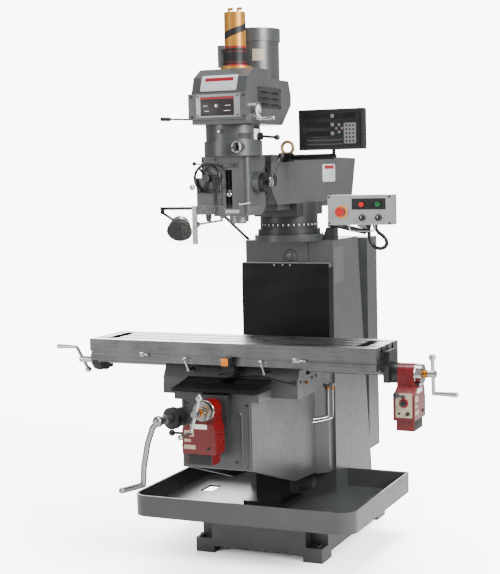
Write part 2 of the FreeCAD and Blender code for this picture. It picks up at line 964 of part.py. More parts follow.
def feed_unit(name, bore_radius):
    """A power feed unit whose screw runs along Y: a shouldered gear case over a motor foot.

    The unit stands at the origin: the screw's axis is x 0, z 0 and the unit's back is at y 0.
    """
    left = "-feed_unit_wide / 2 - feed_unit_shift"
    right = "feed_unit_wide / 2 - feed_unit_shift"
    case = plate(
        name + "_case",
        "XZ",
        [
            (left, "-feed_unit_drop"),
            (right, "-feed_unit_drop"),
            (right, "-feed_shoulder_drop - feed_shoulder_slope"),
            ("feed_neck_half", "-feed_shoulder_drop"),
            ("feed_neck_half", "0"),
            ("-feed_neck_half", "0"),
            ("-feed_neck_half", "-feed_shoulder_drop"),
            (left, "-feed_shoulder_drop - feed_shoulder_slope"),
        ],
        "-feed_unit_thick",
        "0",
    )
    crown = rod(name + "_crown", "Y", "0", "-feed_unit_thick + 20", "0", "feed_neck_half", "feed_unit_thick - 20")
    relief = block(
        name + "_relief",
        ("-feed_neck_half - 1", "feed_neck_half + 1"),
        ("-feed_unit_thick - 1", "-feed_unit_thick + 20"),
        ("-feed_shoulder_drop", "1"),
    )
    bore = rod(name + "_bore", "Y", "0", "-feed_unit_thick - 1", "0", bore_radius, "feed_unit_thick + 2")
    foot = block(
        name + "_foot",
        ("-feed_unit_shift - feed_base_wide / 2", "-feed_unit_shift + feed_base_wide / 2"),
        ("-feed_unit_thick + 8", "-8"),
        ("-feed_unit_drop - feed_base_high", "-feed_unit_drop"),
    )
    head = cut(name + "_head", join(name + "_body", [case, crown]), [relief, bore])
    return group(name, [head, foot])


def make_cross_feed_unit():
    """The power feed of the cross slide, on the knee's front."""
    unit = feed_unit("cross_feed_housing", "screw_radius + fit_gap")
    node(stand(unit, "0", "-knee_front - feed_standoff", "cross_screw_z"))


def ball_crank(name, reach):
    """A three-armed crank in its own frame, its shaft along +Z: hub, counterweight ball, arm and grip."""
    hub = rod(name + "_hub", "Z", "0", "0", f"{reach} - 14", "hub_radius", "28")
    level = value(reach)
    up = bar(name + "_up", FreeCAD.Vector(0, 0, level), FreeCAD.Vector(0, value("ball_arm"), level), value("arm_radius"))
    weight = ball(name + "_weight", "0", "ball_arm", reach, "ball_radius")
    low = FreeCAD.Vector(0, -value("grip_arm"), level)
    down = bar(name + "_down", FreeCAD.Vector(0, 0, level), low, value("arm_radius"))
    grip = cone(name + "_grip", "Z", "0", "-grip_arm", reach, "grip_radius - 4", "grip_radius", "grip_long")
    tip = ball(name + "_tip", "0", "-grip_arm", f"{reach} + grip_long", "grip_radius")
    return [hub, up, weight, down, grip, tip]


def turned(item, x, y, z, axis, roll):
    """Stand a piece whose shaft is +Z along an axis, rolled about it."""
    flip = {
        "+X": FreeCAD.Rotation(FreeCAD.Vector(0, 1, 0), FreeCAD.Vector(0, 0, 1), FreeCAD.Vector(1, 0, 0), "ZXY"),
        "-X": FreeCAD.Rotation(FreeCAD.Vector(0, -1, 0), FreeCAD.Vector(0, 0, 1), FreeCAD.Vector(-1, 0, 0), "ZXY"),
        "-Y": FreeCAD.Rotation(FreeCAD.Vector(1, 0, 0), FreeCAD.Vector(0, 0, 1), FreeCAD.Vector(0, -1, 0), "ZXY"),
        "+Z": FreeCAD.Rotation(),
    }[axis]
    item.Placement = FreeCAD.Placement(
        FreeCAD.Vector(), flip.multiply(FreeCAD.Rotation(FreeCAD.Vector(0, 0, 1), roll))
    )
    for letter, text in zip("xyz", (x, y, z)):
        item.setExpression(".Placement.Base." + letter, bound(text))
    return item


def make_cross_screw():
    """The cross feed screw with its dial and crank, one turning piece along Y."""
    front = "-knee_front - feed_standoff - feed_unit_thick"
    screw = rod(
        "cross_screw_rod", "Y", "0", f"{front} - dial_long", "cross_screw_z", "screw_radius", f"dial_long - ({front}) - 170"
    )
    dial = rod(
        "cross_screw_dial",
        "Y",
        "0",
        f"{front} + 20 - running_gap - dial_long",
        "cross_screw_z",
        "dial_radius",
        "dial_long",
    )
    collar = rod(
        "cross_screw_collar", "Y", "0", f"{front} - dial_long - hub_reach + 50", "cross_screw_z", "screw_radius", "hub_reach"
    )
    pieces = join("cross_screw_crank", ball_crank("cross_crank", "0"))
    turned(pieces, "0", f"{front} - dial_long - hub_reach + 50", "cross_screw_z", "-Y", -16)
    node(join("cross_feed_screw", [screw, dial, collar, pieces]))


def make_feed_lever(name, x, y, z, out):
    """A power feed's direction lever: a short red arm with a black knob, in a pivot pin."""
    start = spot(x, y, z)
    end = start + out * value("lever_long")
    arm = bar(name + "_arm", start, end, value("lever_radius"))
    knob = doc.addObject("Part::Feature", name + "_knob")
    knob.Shape = Part.makeSphere(value("lever_knob_radius"), end, out)
    pivot = ball(name + "_pivot", x, y, z, "lever_radius + 4")
    node(join(name, [arm, knob, pivot]))


def make_knee_crank():
    """The knee crank: a shaft with its bevel pinion, an elbow, a long swept arm and a grip."""
    origin, out = crank_frame()
    side = FreeCAD.Vector(out.y, -out.x, 0)
    reach = value("crank_boss_reach") + value("crank_flange_thick")
    shaft = crank_rod("crank_shaft", "lift_gear_radius - 12", "crank_boss_reach + crank_flange_thick + 56 - lift_gear_radius", "crank_shaft_radius")
    pinion = doc.addObject("Part::Feature", "crank_pinion")
    pinion.Shape = Part.makeCone(value("lift_gear_radius") / 2 - 8, value("lift_gear_radius") / 2, 16, origin + out * (value("lift_gear_radius") - 14), out)
    collar = crank_rod("crank_collar", "crank_boss_reach + crank_flange_thick + running_gap", "34", "22")
    elbow = origin + out * (reach + value("crank_stub"))
    drop, sweep = value("crank_drop"), value("crank_sweep")
    steps = [(0, 0), (0.34, 0.11), (0.66, 0.36), (0.92, 0.72), (1, 1)]
    points = [elbow + side * (sweep * u) - FreeCAD.Vector(0, 0, drop * v) for u, v in steps]
    stub = bar("crank_stub", origin + out * (reach + 20), elbow, value("crank_rod_radius") + 3)
    arm = rail("crank_arm", points, value("crank_rod_radius"))
    hub = doc.addObject("Part::Feature", "crank_hub")
    hub.Shape = Part.makeSphere(23, elbow)
    grip = bar("crank_grip", points[-1], points[-1] + out * value("crank_grip_long"), value("crank_rod_radius"))
    node(join("knee_crank", [shaft, pinion, collar, stub, hub, arm, grip]))


def make_lift_screw():
    """The elevating screw with the bevel gear that the knee crank drives."""
    screw = rod(
        "lift_screw_rod", "Z", "0", "-lift_screw_y", "lift_screw_end", "lift_screw_radius", "crank_axis_z - lift_screw_end - 14"
    )
    gear = cone(
        "lift_screw_gear",
        "Z",
        "0",
        "-lift_screw_y",
        "crank_axis_z - lift_gear_radius",
        "lift_gear_radius",
        "lift_gear_radius - 16",
        "lift_gear_thick",
    )
    node(join("elevating_screw", [screw, gear]))


def make_way_cover():
    """The front way cover: a rubber apron from the saddle's front down over the knee's ledge."""
    front = "-knee_front - 34"
    node(
        plate(
            "front_way_cover",
            "YZ",
            [
                ("-saddle_front - 1", "knee_top + 34"),
                ("-saddle_front + 4", "knee_top + 46"),
                (f"{front} + 6", "knee_top + 20"),
                (front, "knee_top + 14"),
                (front, "knee_top + 1"),
                (f"{front} + 8", "knee_top + 1"),
                (f"{front} + 12", "knee_top + 10"),
            ],
            "-knee_flange_half",
            "knee_flange_half",
        )
    )


# ---------------------------------------------------------------- saddle


def make_saddle():
    """The saddle: it slides on the knee along Y and carries the table in its dovetail."""
    core = plate(
        "saddle_core",
        "YZ",
        [
            ("-saddle_front", "saddle_low"),
            ("-saddle_rear", "saddle_low"),
            ("-saddle_rear", "saddle_top"),
            ("lip_y", "saddle_top"),
            ("lip_y", "lip_low - saddle_lip_gap"),
            ("-saddle_front + saddle_slope", "lip_low - saddle_lip_gap"),
            ("-saddle_front", "saddle_low + saddle_face_high"),
        ],
        "-saddle_half",
        "saddle_half",
    )
    tongue = plate(
        "saddle_tongue",
        "YZ",
        [
            ("-table_y - tongue_half + 3 * running_gap", "saddle_top - 1"),
            ("-table_y + tongue_half - 3 * running_gap", "saddle_top - 1"),
            ("-table_y + tongue_half + tongue_flare - 3 * running_gap", "saddle_top + tongue_high"),
            ("-table_y - tongue_half - tongue_flare + 3 * running_gap", "saddle_top + tongue_high"),
        ],
        "-saddle_half",
        "saddle_half",
    )
    pieces = [core, tongue]
    for tag, low, high in (
        ("left", "-saddle_half", "-knee_flange_half - running_gap"),
        ("right", "knee_flange_half + running_gap", "saddle_half"),
    ):
        pieces.append(
            block(
                f"saddle_wing_{tag}",
                (low, high),
                ("-saddle_front", "-saddle_rear - 40"),
                ("saddle_wing_low", "saddle_low + 1"),
            )
        )
    pieces.append(
        block(
            "saddle_nut",
            ("-nut_half", "nut_half"),
            ("-table_y - nut_long / 2", "-table_y + nut_long / 2"),
            ("cross_screw_z - nut_half", "saddle_low + 1"),
        )
    )
    solid = join("saddle_solid", pieces)
    trough = block(
        "saddle_trough",
        ("-saddle_half - 1", "saddle_half + 1"),
        ("-table_y - trough_half", "-table_y + trough_half"),
        ("table_screw_z - trough_half", "saddle_top + tongue_high + 1"),
    )
    open_core = cut("saddle_open", solid, [trough])
    nut = block(
        "table_nut",
        ("-nut_long", "nut_long"),
        ("-table_y - trough_half - 1", "-table_y + trough_half + 1"),
        ("table_screw_z - trough_half - 1", "saddle_top + tongue_high"),
    )
    with_nut = join("saddle_with_nut", [open_core, nut])
    table_hole = rod(
        "saddle_table_hole", "X", "-nut_long - 1", "-table_y", "table_screw_z", "screw_radius + fit_gap", "2 * nut_long + 2"
    )
    cross_hole = rod(
        "saddle_cross_hole",
        "Y",
        "0",
        "-table_y - nut_long / 2 - 1",
        "cross_screw_z",
        "screw_radius + fit_gap",
        "nut_long + 2",
    )
    tools = [table_hole, cross_hole]
    for tag, x in (("left", "-lock_x"), ("right", "lock_x")):
        tools.append(
            rod(f"saddle_lock_hole_{tag}", "Y", x, "lock_y", "lock_z", "lock_radius + fit_gap", "lock_reach + 41")
        )
    node(cut("saddle_casting", with_nut, tools))


def make_limit_switch():
    """The limit switch in front of the table, its bracket on the saddle, and its lead."""
    back = "switch_y"
    front = "switch_y - switch_deep"
    foot_low, foot_top = "saddle_top - 22", "saddle_top - 16"
    case = block(
        "switch_case", ("-6", "switch_wide - 6"), (front, back), ("saddle_top + 18", "saddle_top + 18 + switch_high")
    )
    slope = "saddle_slope / (lip_low - saddle_lip_gap - saddle_low - saddle_face_high)"
    foot = plate(
        "switch_foot",
        "YZ",
        [
            (front, foot_low),
            (f"-saddle_front + {slope} * ({foot_low} - saddle_low - saddle_face_high)", foot_low),
            (f"-saddle_front + {slope} * ({foot_top} - saddle_low - saddle_face_high)", foot_top),
            (front, foot_top),
        ],
        "-22",
        "switch_wide + 4",
    )
    web = block("switch_web", ("-12", "switch_wide"), (f"{back} - 8", back), (f"{foot_low} + 1", "saddle_top + 19"))
    lead_y, lead_z = "-saddle_front - 8", f"{foot_low} - 4"
    gland = rod("switch_gland", "X", "30", lead_y, lead_z, "6", "28")
    node(join("limit_switch", [case, foot, web, gland]))
    clip = block(
        "switch_clip", ("300", "314"), ("-saddle_front - 16", "-saddle_front"), ("saddle_low + 22", "saddle_low + 44")
    )
    route = [
        spot("58", lead_y, lead_z),
        spot("84", lead_y, lead_z),
        spot("120", "-saddle_front - 7", f"{lead_z} + 2"),
        spot("162", "-saddle_front - 7", f"{lead_z} - 1"),
        spot("206", "-saddle_front - 8", f"{lead_z} - 7"),
        spot("250", "-saddle_front - 9", f"{lead_z} - 18"),
        spot("280", "-saddle_front - 8", f"{lead_z} - 23"),
        spot("300", "-saddle_front - 8", f"{lead_z} - 23"),
    ]
    lead = cord("switch_lead", route, 4)
    node(group("limit_switch_cable", [lead, clip]))


def make_lock_lever(name, x):
    """A table lock: a stud in the saddle's sloping front with a short ball lever on it."""
    stud = rod(name + "_stud", "Y", x, "lock_y", "lock_z", "lock_radius", "lock_reach + 40")
    start = spot(x, "lock_y + 4", "lock_z")
    end = start + FreeCAD.Vector(-14, -12, value("lock_rise"))
    arm = bar(name + "_arm", start, end, 4.5)
    knob = doc.addObject("Part::Feature", name + "_knob")
    knob.Shape = Part.makeSphere(9, end)
    node(join(name, [stud, arm, knob]))


# ---------------------------------------------------------------- table


def table_outline():
    """The table's section across its length: slots above, a groove in front, a dovetail below."""
    points = [("table_front + band_inset", "lip_low")]
    points.append(("table_front + band_inset", "groove_top - groove_high"))
    points.append(("table_front + groove_deep", "groove_top - groove_high"))
    points.append(("table_front + groove_deep", "groove_top"))
    points.append(("table_front", "groove_top"))
    points.append(("table_front", "table_top"))
    count = SIZES["slot_count"]
    for i in range(count):
        mid = f"-table_y + slot_pitch * {i - (count - 1) / 2}"
        throat = "table_top - slot_throat_deep"
        floor = f"{throat} - slot_wide_deep"
        for half, level in (
            ("-slot_throat_half", "table_top"),
            ("-slot_throat_half", throat),
            ("-slot_wide_half", throat),
            ("-slot_wide_half", floor),
            ("slot_wide_half", floor),
            ("slot_wide_half", throat),
            ("slot_throat_half", throat),
            ("slot_throat_half", "table_top"),
        ):
            points.append((f"{mid} + ({half})", level))
    points.append(("table_rear", "table_top"))
    points.append(("table_rear", "lip_low"))
    points.append(("-table_y + table_middle_half", "lip_low"))
    points.append(("-table_y + table_middle_half", "table_low"))
    points.append(("-table_y + tongue_half", "table_low"))
    points.append(("-table_y + tongue_half + tongue_flare", "table_low + tongue_high + running_gap"))
    points.append(("-table_y - tongue_half - tongue_flare", "table_low + tongue_high + running_gap"))
    points.append(("-table_y - tongue_half", "table_low"))
    points.append(("-table_y - table_middle_half", "table_low"))
    points.append(("-table_y - table_middle_half", "lip_low"))
    return points


def make_table():
    """The work table with its T-slots and a coolant trough near each end."""
    slab = plate("table_slab", "YZ", table_outline(), "-end_x", "end_x")
    troughs = []
    for sign in ("-", ""):
        near = f"{sign}(end_x - trough_inset)"
        far = f"{sign}(end_x - trough_inset - trough_wide)"
        span = (near, far) if sign else (far, near)
        troughs.append(
            block(
                "table_trough_" + ("left" if sign else "right"),
                span,
                ("-table_y - trough_long / 2", "-table_y + trough_long / 2"),
                ("table_top - trough_deep", "table_top + 1"),
            )
        )
    node(cut("work_table", slab, troughs))


def bracket_outline():
    """The end bracket's outline: a tall plate whose upper corners are taken off."""
    low, top = "table_screw_z - end_bracket_down", "table_screw_z + end_bracket_up"
    return [
        ("-table_y - end_bracket_half + 12", low),
        ("-table_y + end_bracket_half - 12", low),
        ("-table_y + end_bracket_half", f"{top} - 64"),
        ("-table_y + end_bracket_half - 24", top),
        ("-table_y - end_bracket_half + 24", top),
        ("-table_y - end_bracket_half", f"{top} - 64"),
    ]


def make_end_brackets():
    """The brackets on the table's two ends, each with the table screw's bearing."""
    pieces = []
    for tag, sign in (("left", "-"), ("right", "")):
        near = f"{sign}(end_x)"
        far = f"{sign}(end_x + end_bracket_thick)"
        span = (near, far) if not sign else (far, near)
        slab = plate(f"end_plate_{tag}", "YZ", bracket_outline(), *span)
        round_edges(slab, "end_bracket_half / 4", lambda e: lengthwise(e) and e.Vertexes[0].Z > value("table_top - 70"))
        start = "end_x" if not sign else "-end_x - end_bracket_thick - bearing_long"
        length = "end_bracket_thick + bearing_long"
        hub = rod(f"end_hub_{tag}", "X", start, "-table_y", "table_screw_z", "bearing_radius", length)
        hole = rod(
            f"end_hole_{tag}",
            "X",
            f"{start} - 1",
            "-table_y",
            "table_screw_z",
            "screw_radius + fit_gap",
            f"{length} + 2",
        )
        pieces.append(cut(f"end_bracket_{tag}", join(f"end_solid_{tag}", [slab, hub]), [hole]))
    node(group("table_end_brackets", pieces))


def make_table_feed_unit():
    """The power feed of the table, on its right end bracket."""
    unit = feed_unit("table_feed_housing", "screw_radius + fit_gap")
    unit.Placement = FreeCAD.Placement(FreeCAD.Vector(), FreeCAD.Rotation(FreeCAD.Vector(0, 0, 1), 90))
    places = ("end_x + end_bracket_thick + bearing_long", "-table_y", "table_screw_z")
    for letter, text in zip("xyz", places):
        unit.setExpression(".Placement.Base." + letter, bound(text))
    node(unit)


def make_table_screw():
    """The table screw with both its cranks and the dial, one turning piece along X."""
    left = "-end_x - end_bracket_thick - bearing_long"
    right = "end_x + end_bracket_thick + bearing_long + feed_unit_thick"
    screw = rod(
        "table_screw_rod",
        "X",
        f"{left} - left_hub_reach",
        "-table_y",
        "table_screw_z",
        "screw_radius",
        f"{right} + right_hub_reach - ({left}) + left_hub_reach",
    )
    left_dial = rod(
        "table_left_dial", "X", f"{left} - running_gap - 16", "-table_y", "table_screw_z", "30", "16"
    )
    dial = rod(
        "table_right_dial",
        "X",
        f"{right} - 20 + running_gap",
        "-table_y",
        "table_screw_z",
        "dial_radius",
        "dial_long",
    )
    left_crank = join("table_left_crank", ball_crank("left_crank", "0"))
    turned(left_crank, f"{left} - left_hub_reach", "-table_y", "table_screw_z", "-X", 140)
    right_crank = join("table_right_crank", ball_crank("right_crank", "0"))
    turned(right_crank, f"{right} + right_hub_reach", "-table_y", "table_screw_z", "+X", 6)
    node(join("table_screw", [screw, left_dial, dial, left_crank, right_crank]))


# ---------------------------------------------------------------- turret and ram


def make_turret():
    """The turret: a swivelling flange and neck that guide the ram's foot."""
    flange = rod("turret_flange", "Z", "0", "0", "turret_low", "turret_radius", "turret_flange_high")
    neck_low = "turret_low + turret_flange_high"
    neck = rod("turret_neck", "Z", "0", "0", f"{neck_low} - 1", "turret_radius - 12", f"turret_top - ({neck_low}) + 1")
    saddle = block(
        "turret_saddle",
        ("-ram_half", "ram_half"),
        ("-turret_radius - 18", "turret_radius + 18"),
        ("turret_top - 62", "turret_top"),
    )
    slot = block(
        "turret_slot",
        ("-ram_guide_half - running_gap", "ram_guide_half + running_gap"),
        ("-turret_radius - 19", "turret_radius + 19"),
        ("turret_top - ram_guide_deep - running_gap", "turret_top + 1"),
    )
    node(cut("turret", join("turret_solid", [flange, neck, saddle]), [slot]))


def make_ram():
    """The ram: a hollow beam on a guide foot, forked in front for the head's knuckle."""
    shell = plate(
        "ram_shell",
        "YZ",
        [
            ("-ram_front + ram_chamfer", "ram_low"),
            ("ram_rear_low", "ram_low"),
            ("ram_rear_top", "ram_top - ram_tail_drop"),
            ("-ram_front + 40", "ram_top"),
            ("-ram_front", "ram_top"),
            ("-ram_front", "ram_low + ram_chamfer"),
        ],
        "-ram_half",
        "ram_half",
    )
    inside = block(
        "ram_inside",
        ("-ram_half + ram_wall", "ram_half - ram_wall"),
        ("-nod_y + nod_radius + 2 * ram_wall", "ram_rear_low - ram_wall"),
        ("ram_low + ram_wall", "ram_top - ram_tail_drop - ram_wall"),
    )
    fork = block(
        "ram_fork",
        ("-cheek_gap_half - running_gap", "cheek_gap_half + running_gap"),
        ("-ram_front - 1", "-nod_y + nod_radius + 2"),
        ("ram_low - ram_guide_deep - 1", "ram_top + 1"),
    )
    pin_hole = rod(
        "ram_pin_hole", "X", "-ram_half - 1", "-nod_y", "pivot_z", "nod_pin_radius + fit_gap", "2 * ram_half + 2"
    )
    guide = block(
        "ram_guide",
        ("-ram_guide_half", "ram_guide_half"),
        ("-nod_y + nod_radius + 12", "ram_rear_low - 12"),
        ("ram_low - ram_guide_deep", "ram_low + 1"),
    )
    solid = join("ram_solid", [cut("ram_open", shell, [inside]), guide])
    node(cut("ram_casting", solid, [fork, pin_hole]))
    ring_z = "ring_top - ring_radius - ring_wire"
    loop = hoop("ring_loop", "Y", "0", "0", ring_z, "ring_radius", "ring_wire")
    seat = "ram_top - ram_tail_drop * (ram_front - 40 - stem_radius) / (ram_rear_top + ram_front - 40)"
    stem = rod("ring_stem", "Z", "0", "0", seat, "stem_radius", f"{ring_z} - ring_radius + 2 - ({seat})")
    node(join("lifting_ring", [loop, stem]))


def make_readout():
    """The digital readout: a bracket and arm on the ram's side, and the display on its post."""
    z_low = "ram_top - 34"
    bracket = block("readout_foot", ("ram_half", "ram_half + 26"), ("-330", "-262"), (z_low, "ram_top + 6"))
    boss = rod("readout_boss", "Z", "ram_half + 22", "-296", "ram_top - 30", "19", "34")
    run = bar(
        "readout_run",
        spot("ram_half + 22", "-296", "ram_top - 14"),
        spot("readout_x - 16", "-readout_y + readout_deep / 2 + 34", "ram_top - 14"),
        13,
    )
    post = rod("readout_post", "Z", "readout_x - 16", "-readout_y + readout_deep / 2 + 34", "ram_top - 20", "8", "130")
    node(join("readout_arm", [bracket, boss, run, post]))
    low, high = "readout_z - readout_high / 2", "readout_z + readout_high / 2"
    front = "-readout_y - readout_deep / 2"
    case = block(
        "readout_case",
        ("readout_x - readout_wide / 2", "readout_x + readout_wide / 2"),
        (front, "-readout_y + readout_deep / 2"),
        (low, high),
    )
    face = block(
        "readout_face",
        ("readout_x - readout_wide / 2 + 9", "readout_x + readout_wide / 2 - 9"),
        (f"{front} - 1", f"{front} + 3"),
        (f"{low} + 9", f"{high} - 9"),
    )
    clamp = block(
        "readout_clamp",
        ("readout_x - 34", "readout_x + 2"),
        ("-readout_y + readout_deep / 2 - 1", "-readout_y + readout_deep / 2 + 50"),
        (f"{low} + 6", f"{low} + 34"),
    )
    clamp_hole = rod(
        "readout_clamp_hole",
        "Z",
        "readout_x - 16",
        "-readout_y + readout_deep / 2 + 34",
        f"{low} + 5",
        "8 + fit_gap",
        "30",
    )
    body = cut("readout_shell", case, [face])
    node(cut("readout_display", join("readout_solid", [body, clamp]), [clamp_hole]))


# ---------------------------------------------------------------- control panel


def make_panel():
    """The panel's arm, the panel box with its conduit, and the buttons and selectors in its front."""
    pin_x, pin_y, level = "column_half - 14", "24", "column_top + 62"
    end_x, end_y = "panel_x - 8", "-panel_y + 12"
    under = "panel_z - panel_high / 2"
    hub = rod("arm_hub", "Z", pin_x, pin_y, level, "22", "24")
    run = bar("arm_run", spot(pin_x, pin_y, f"{level} + 12"), spot(end_x, end_y, f"{under} - 33"), 12)
    end = rod("arm_end", "Z", end_x, end_y, f"{level} - 6", "20", f"{under} - 14 - ({level})")
    pin = rod("arm_pin", "Z", end_x, end_y, f"{under} - 22", "9", "20")
    hole = rod("arm_hole", "Z", pin_x, pin_y, f"{level} - 1", "9 + fit_gap", "29")
    node(cut("panel_arm", join("arm_solid", [hub, run, end, pin]), [hole]))
    front = "-panel_y - panel_deep"
    case = block(
        "panel_case",
        ("panel_x - panel_wide / 2", "panel_x + panel_wide / 2"),
        (front, "-panel_y"),
        (under, "panel_z + panel_high / 2"),
    )
    socket = rod("panel_socket", "Z", end_x, end_y, f"{under} - 18", "20", "26")
    tie = block("panel_tie", ("panel_x - 28", "panel_x + 12"), ("-panel_y - 20", "-panel_y + 30"), (f"{under} - 12", f"{under} + 6"))
    bore = rod("panel_bore", "Z", end_x, end_y, f"{under} - 23", "9 + fit_gap", "22")
    holes = []
    for name, x, z, radius in panel_places():
        holes.append(rod(f"{name}_hole", "Y", x, f"{front} - 1", z, f"{radius} / 2 + fit_gap", "30"))
    node(cut("control_panel", join("panel_solid", [case, socket, tie], False), [bore] + holes, False))
    for name, x, z, radius in panel_places():
        shank = rod(f"{name}_shank", "Y", x, f"{front} - 6", z, f"{radius} / 2", "24")
        if name == "emergency_stop_button":
            cap = cone(f"{name}_cap", "Y", x, f"{front} - 26", z, radius, f"{radius} - 6", "20.4")
        else:
            cap = rod(f"{name}_cap", "Y", x, f"{front} - 16", z, f"{radius} - 2", "10.4")
        node(join(name, [shank, cap]))
    drops = [
        (62, 46, 0),
        (62, 46, 26),
        (106, 40, 56),
        (114, 38, 87),
        (90, 36, 107),
        (54, 35, 101),
        (33, 37, 70),
        (30, 40, 32),
        (30, 40, 0),
    ]
    route = [spot(f"panel_x + {x}", f"-panel_y - {y}", f"{under} - {z}") for x, y, z in drops]
    node(cord("panel_conduit", route, 8))


def panel_places():
    """The panel's controls: name, place on its face and radius."""
    return [
        ("emergency_stop_button", "panel_x - 82", "panel_z - 8", "stop_radius"),
        ("stop_button", "panel_x + 14", "panel_z + 24", "button_radius"),
        ("start_button", "panel_x + 88", "panel_z + 24", "button_radius"),
        ("spindle_selector", "panel_x + 14", "panel_z - 34", "button_radius"),
        ("coolant_selector", "panel_x + 88", "panel_z - 34", "button_radius"),
    ]


# ---------------------------------------------------------------- head


def make_adapter():
    """The knuckle between ram and head: a drum on the nod pin and a round flange in front."""
    drum = rod("adapter_drum", "X", "-cheek_gap_half", "-nod_y", "pivot_z", "nod_radius", "2 * cheek_gap_half")
    pin = rod("adapter_pin", "X", "-ram_half + 1", "-nod_y", "pivot_z", "nod_pin_radius", "2 * ram_half - 2")
    throat = block(
        "adapter_throat",
        ("-cheek_gap_half", "cheek_gap_half"),
        ("-flange_front + 6", "-nod_y"),
        ("pivot_z - nod_radius + 14", "pivot_z + nod_radius - 14"),
    )
    flange = rod("adapter_flange", "Y", "0", "-flange_front", "pivot_z", "flange_radius", "flange_thick")
    pivot_hole = rod("adapter_hole", "Y", "0", "-flange_front - 1", "pivot_z", "22 + fit_gap", "34")
    face = block(
        "adapter_face",
        ("-flange_radius - 1", "flange_radius + 1"),
        ("-nod_y - nod_radius - 1", "-flange_front"),
        ("pivot_z - flange_radius - 1", "pivot_z + flange_radius + 1"),
    )
    node(cut("head_adapter", join("adapter_solid", [drum, pin, throat, flange]), [pivot_hole, face]))


def make_quill_housing():
    """The quill housing: a casting bored for the quill, with the depth stop's slot in front."""
    shell = plate(
        "housing_shell",
        "XZ",
        [
            ("-housing_left_low", "housing_low"),
            ("housing_right - 20", "housing_low"),
            ("housing_right", "housing_low + 40"),
            ("housing_right", "housing_top"),
            ("-housing_left", "housing_top"),
            ("-housing_left", "housing_top - 110"),
            ("-housing_left_low - 22", "housing_low + 60"),
        ],
        "-housing_front",
        "head_back",
    )
    round_edges(shell, "26", lambda e: upright(e) and e.Vertexes[0].Y < value("-housing_front") + 1)
    pivot = rod("housing_pivot", "Y", "0", "head_back - 1", "pivot_z", "22", "28")
    hub = rod(
        "housing_feed_boss", "X", "housing_right - 1", "-feed_hub_y", "feed_hub_z", "feed_hub_radius + 4", "feed_hub_x - housing_right"
    )
    solid = join("housing_solid", [shell, pivot, hub])
    bore = rod(
        "housing_bore", "Z", "0", "spindle_front", "housing_low - 1", "quill_radius + fit_gap", "housing_top - housing_low - 2 * 6"
    )
    slot = block("housing_slot", ("-16", "16"), ("-housing_front - 1", "-housing_front + 34"), ("housing_low + 34", "housing_top - 60"))
    hub_hole = rod("housing_feed_hole", "X", "housing_right - 40", "-feed_hub_y", "feed_hub_z", "14 + fit_gap", "80")
    lock_hole = rod(
        "housing_lock_hole", "Y", "housing_right - 34", "-housing_front - 1", "housing_low + 52", "6 + fit_gap", "40"
    )
    box = block(
        "trip_box",
        ("-housing_left - 6", "-housing_left + 72"),
        ("-housing_front - 22", "-housing_front + 60"),
        ("housing_low + 8", "housing_top - 92"),
    )
    wheel_hole = rod(
        "housing_wheel_hole", "Y", "-wheel_x", "-housing_front - 23", "wheel_z", "9 + fit_gap", "60"
    )
    with_box = join("housing_with_box", [solid, box])
    node(cut("quill_housing", with_box, [bore, slot, hub_hole, lock_hole, wheel_hole]))


def make_gear_housing():
    """The back-gear housing: two round castings stacked on the quill housing."""
    lower = rod("gear_lower", "Z", "0", "gear_y", "housing_top + running_gap", "gear_radius", "gear_mid_z - housing_top - running_gap")
    upper = rod("gear_upper", "Z", "0", "gear_y", "gear_mid_z", "gear_neck_radius", "gear_top - gear_mid_z")
    flat = block(
        "gear_flat",
        ("-gear_radius - 1", "gear_radius + 1"),
        ("head_back", "head_back + gear_radius"),
        ("housing_top - 1", "gear_top + 1"),
    )
    selector_hole = rod(
        "gear_selector_hole", "Y", "selector_x", "selector_y - 1", "selector_z", "8 + fit_gap", "50"
    )
    range_hole = rod("gear_range_hole", "X", "gear_neck_radius - 24", "gear_y", "range_z", "9 + fit_gap", "40")
    boss = rod("gear_selector_boss", "Y", "selector_x", "selector_y", "selector_z", "selector_radius - 2", "60")
    range_boss = rod("gear_range_boss", "X", "gear_neck_radius - 40", "gear_y", "range_z", "16", "42")
    solid = join("gear_solid", [lower, upper, boss, range_boss])
    node(cut("gear_housing", solid, [flat, selector_hole, range_hole]))


def belt_outline(inset):
    """The belt housing's side outline, drawn in by an inset."""
    return [
        (f"-belt_front + {inset}", f"gear_top + running_gap + {inset}"),
        (f"-belt_rear_low - {inset} / 2", f"gear_top + running_gap + {inset}"),
        (f"-belt_rear - {inset}", f"cover_low + 74 + {inset} / 2"),
        (f"-belt_rear - {inset}", f"belt_corner_high - {inset} / 2"),
        (f"-belt_rear - 26 - {inset} / 2", f"motor_low - {inset}"),
        (f"-motor_y - 126 - {inset}", f"motor_low - {inset}"),
        ("-spindle_y + 84", f"belt_top - {inset}"),
        ("-spindle_y - 96", f"belt_top - {inset}"),
        (f"-belt_front + 26 + {inset} / 2", f"cover_low + cover_high + 70 - {inset} / 2"),
        (f"-belt_front + {inset}", f"cover_low + cover_high - {inset} / 2"),
    ]


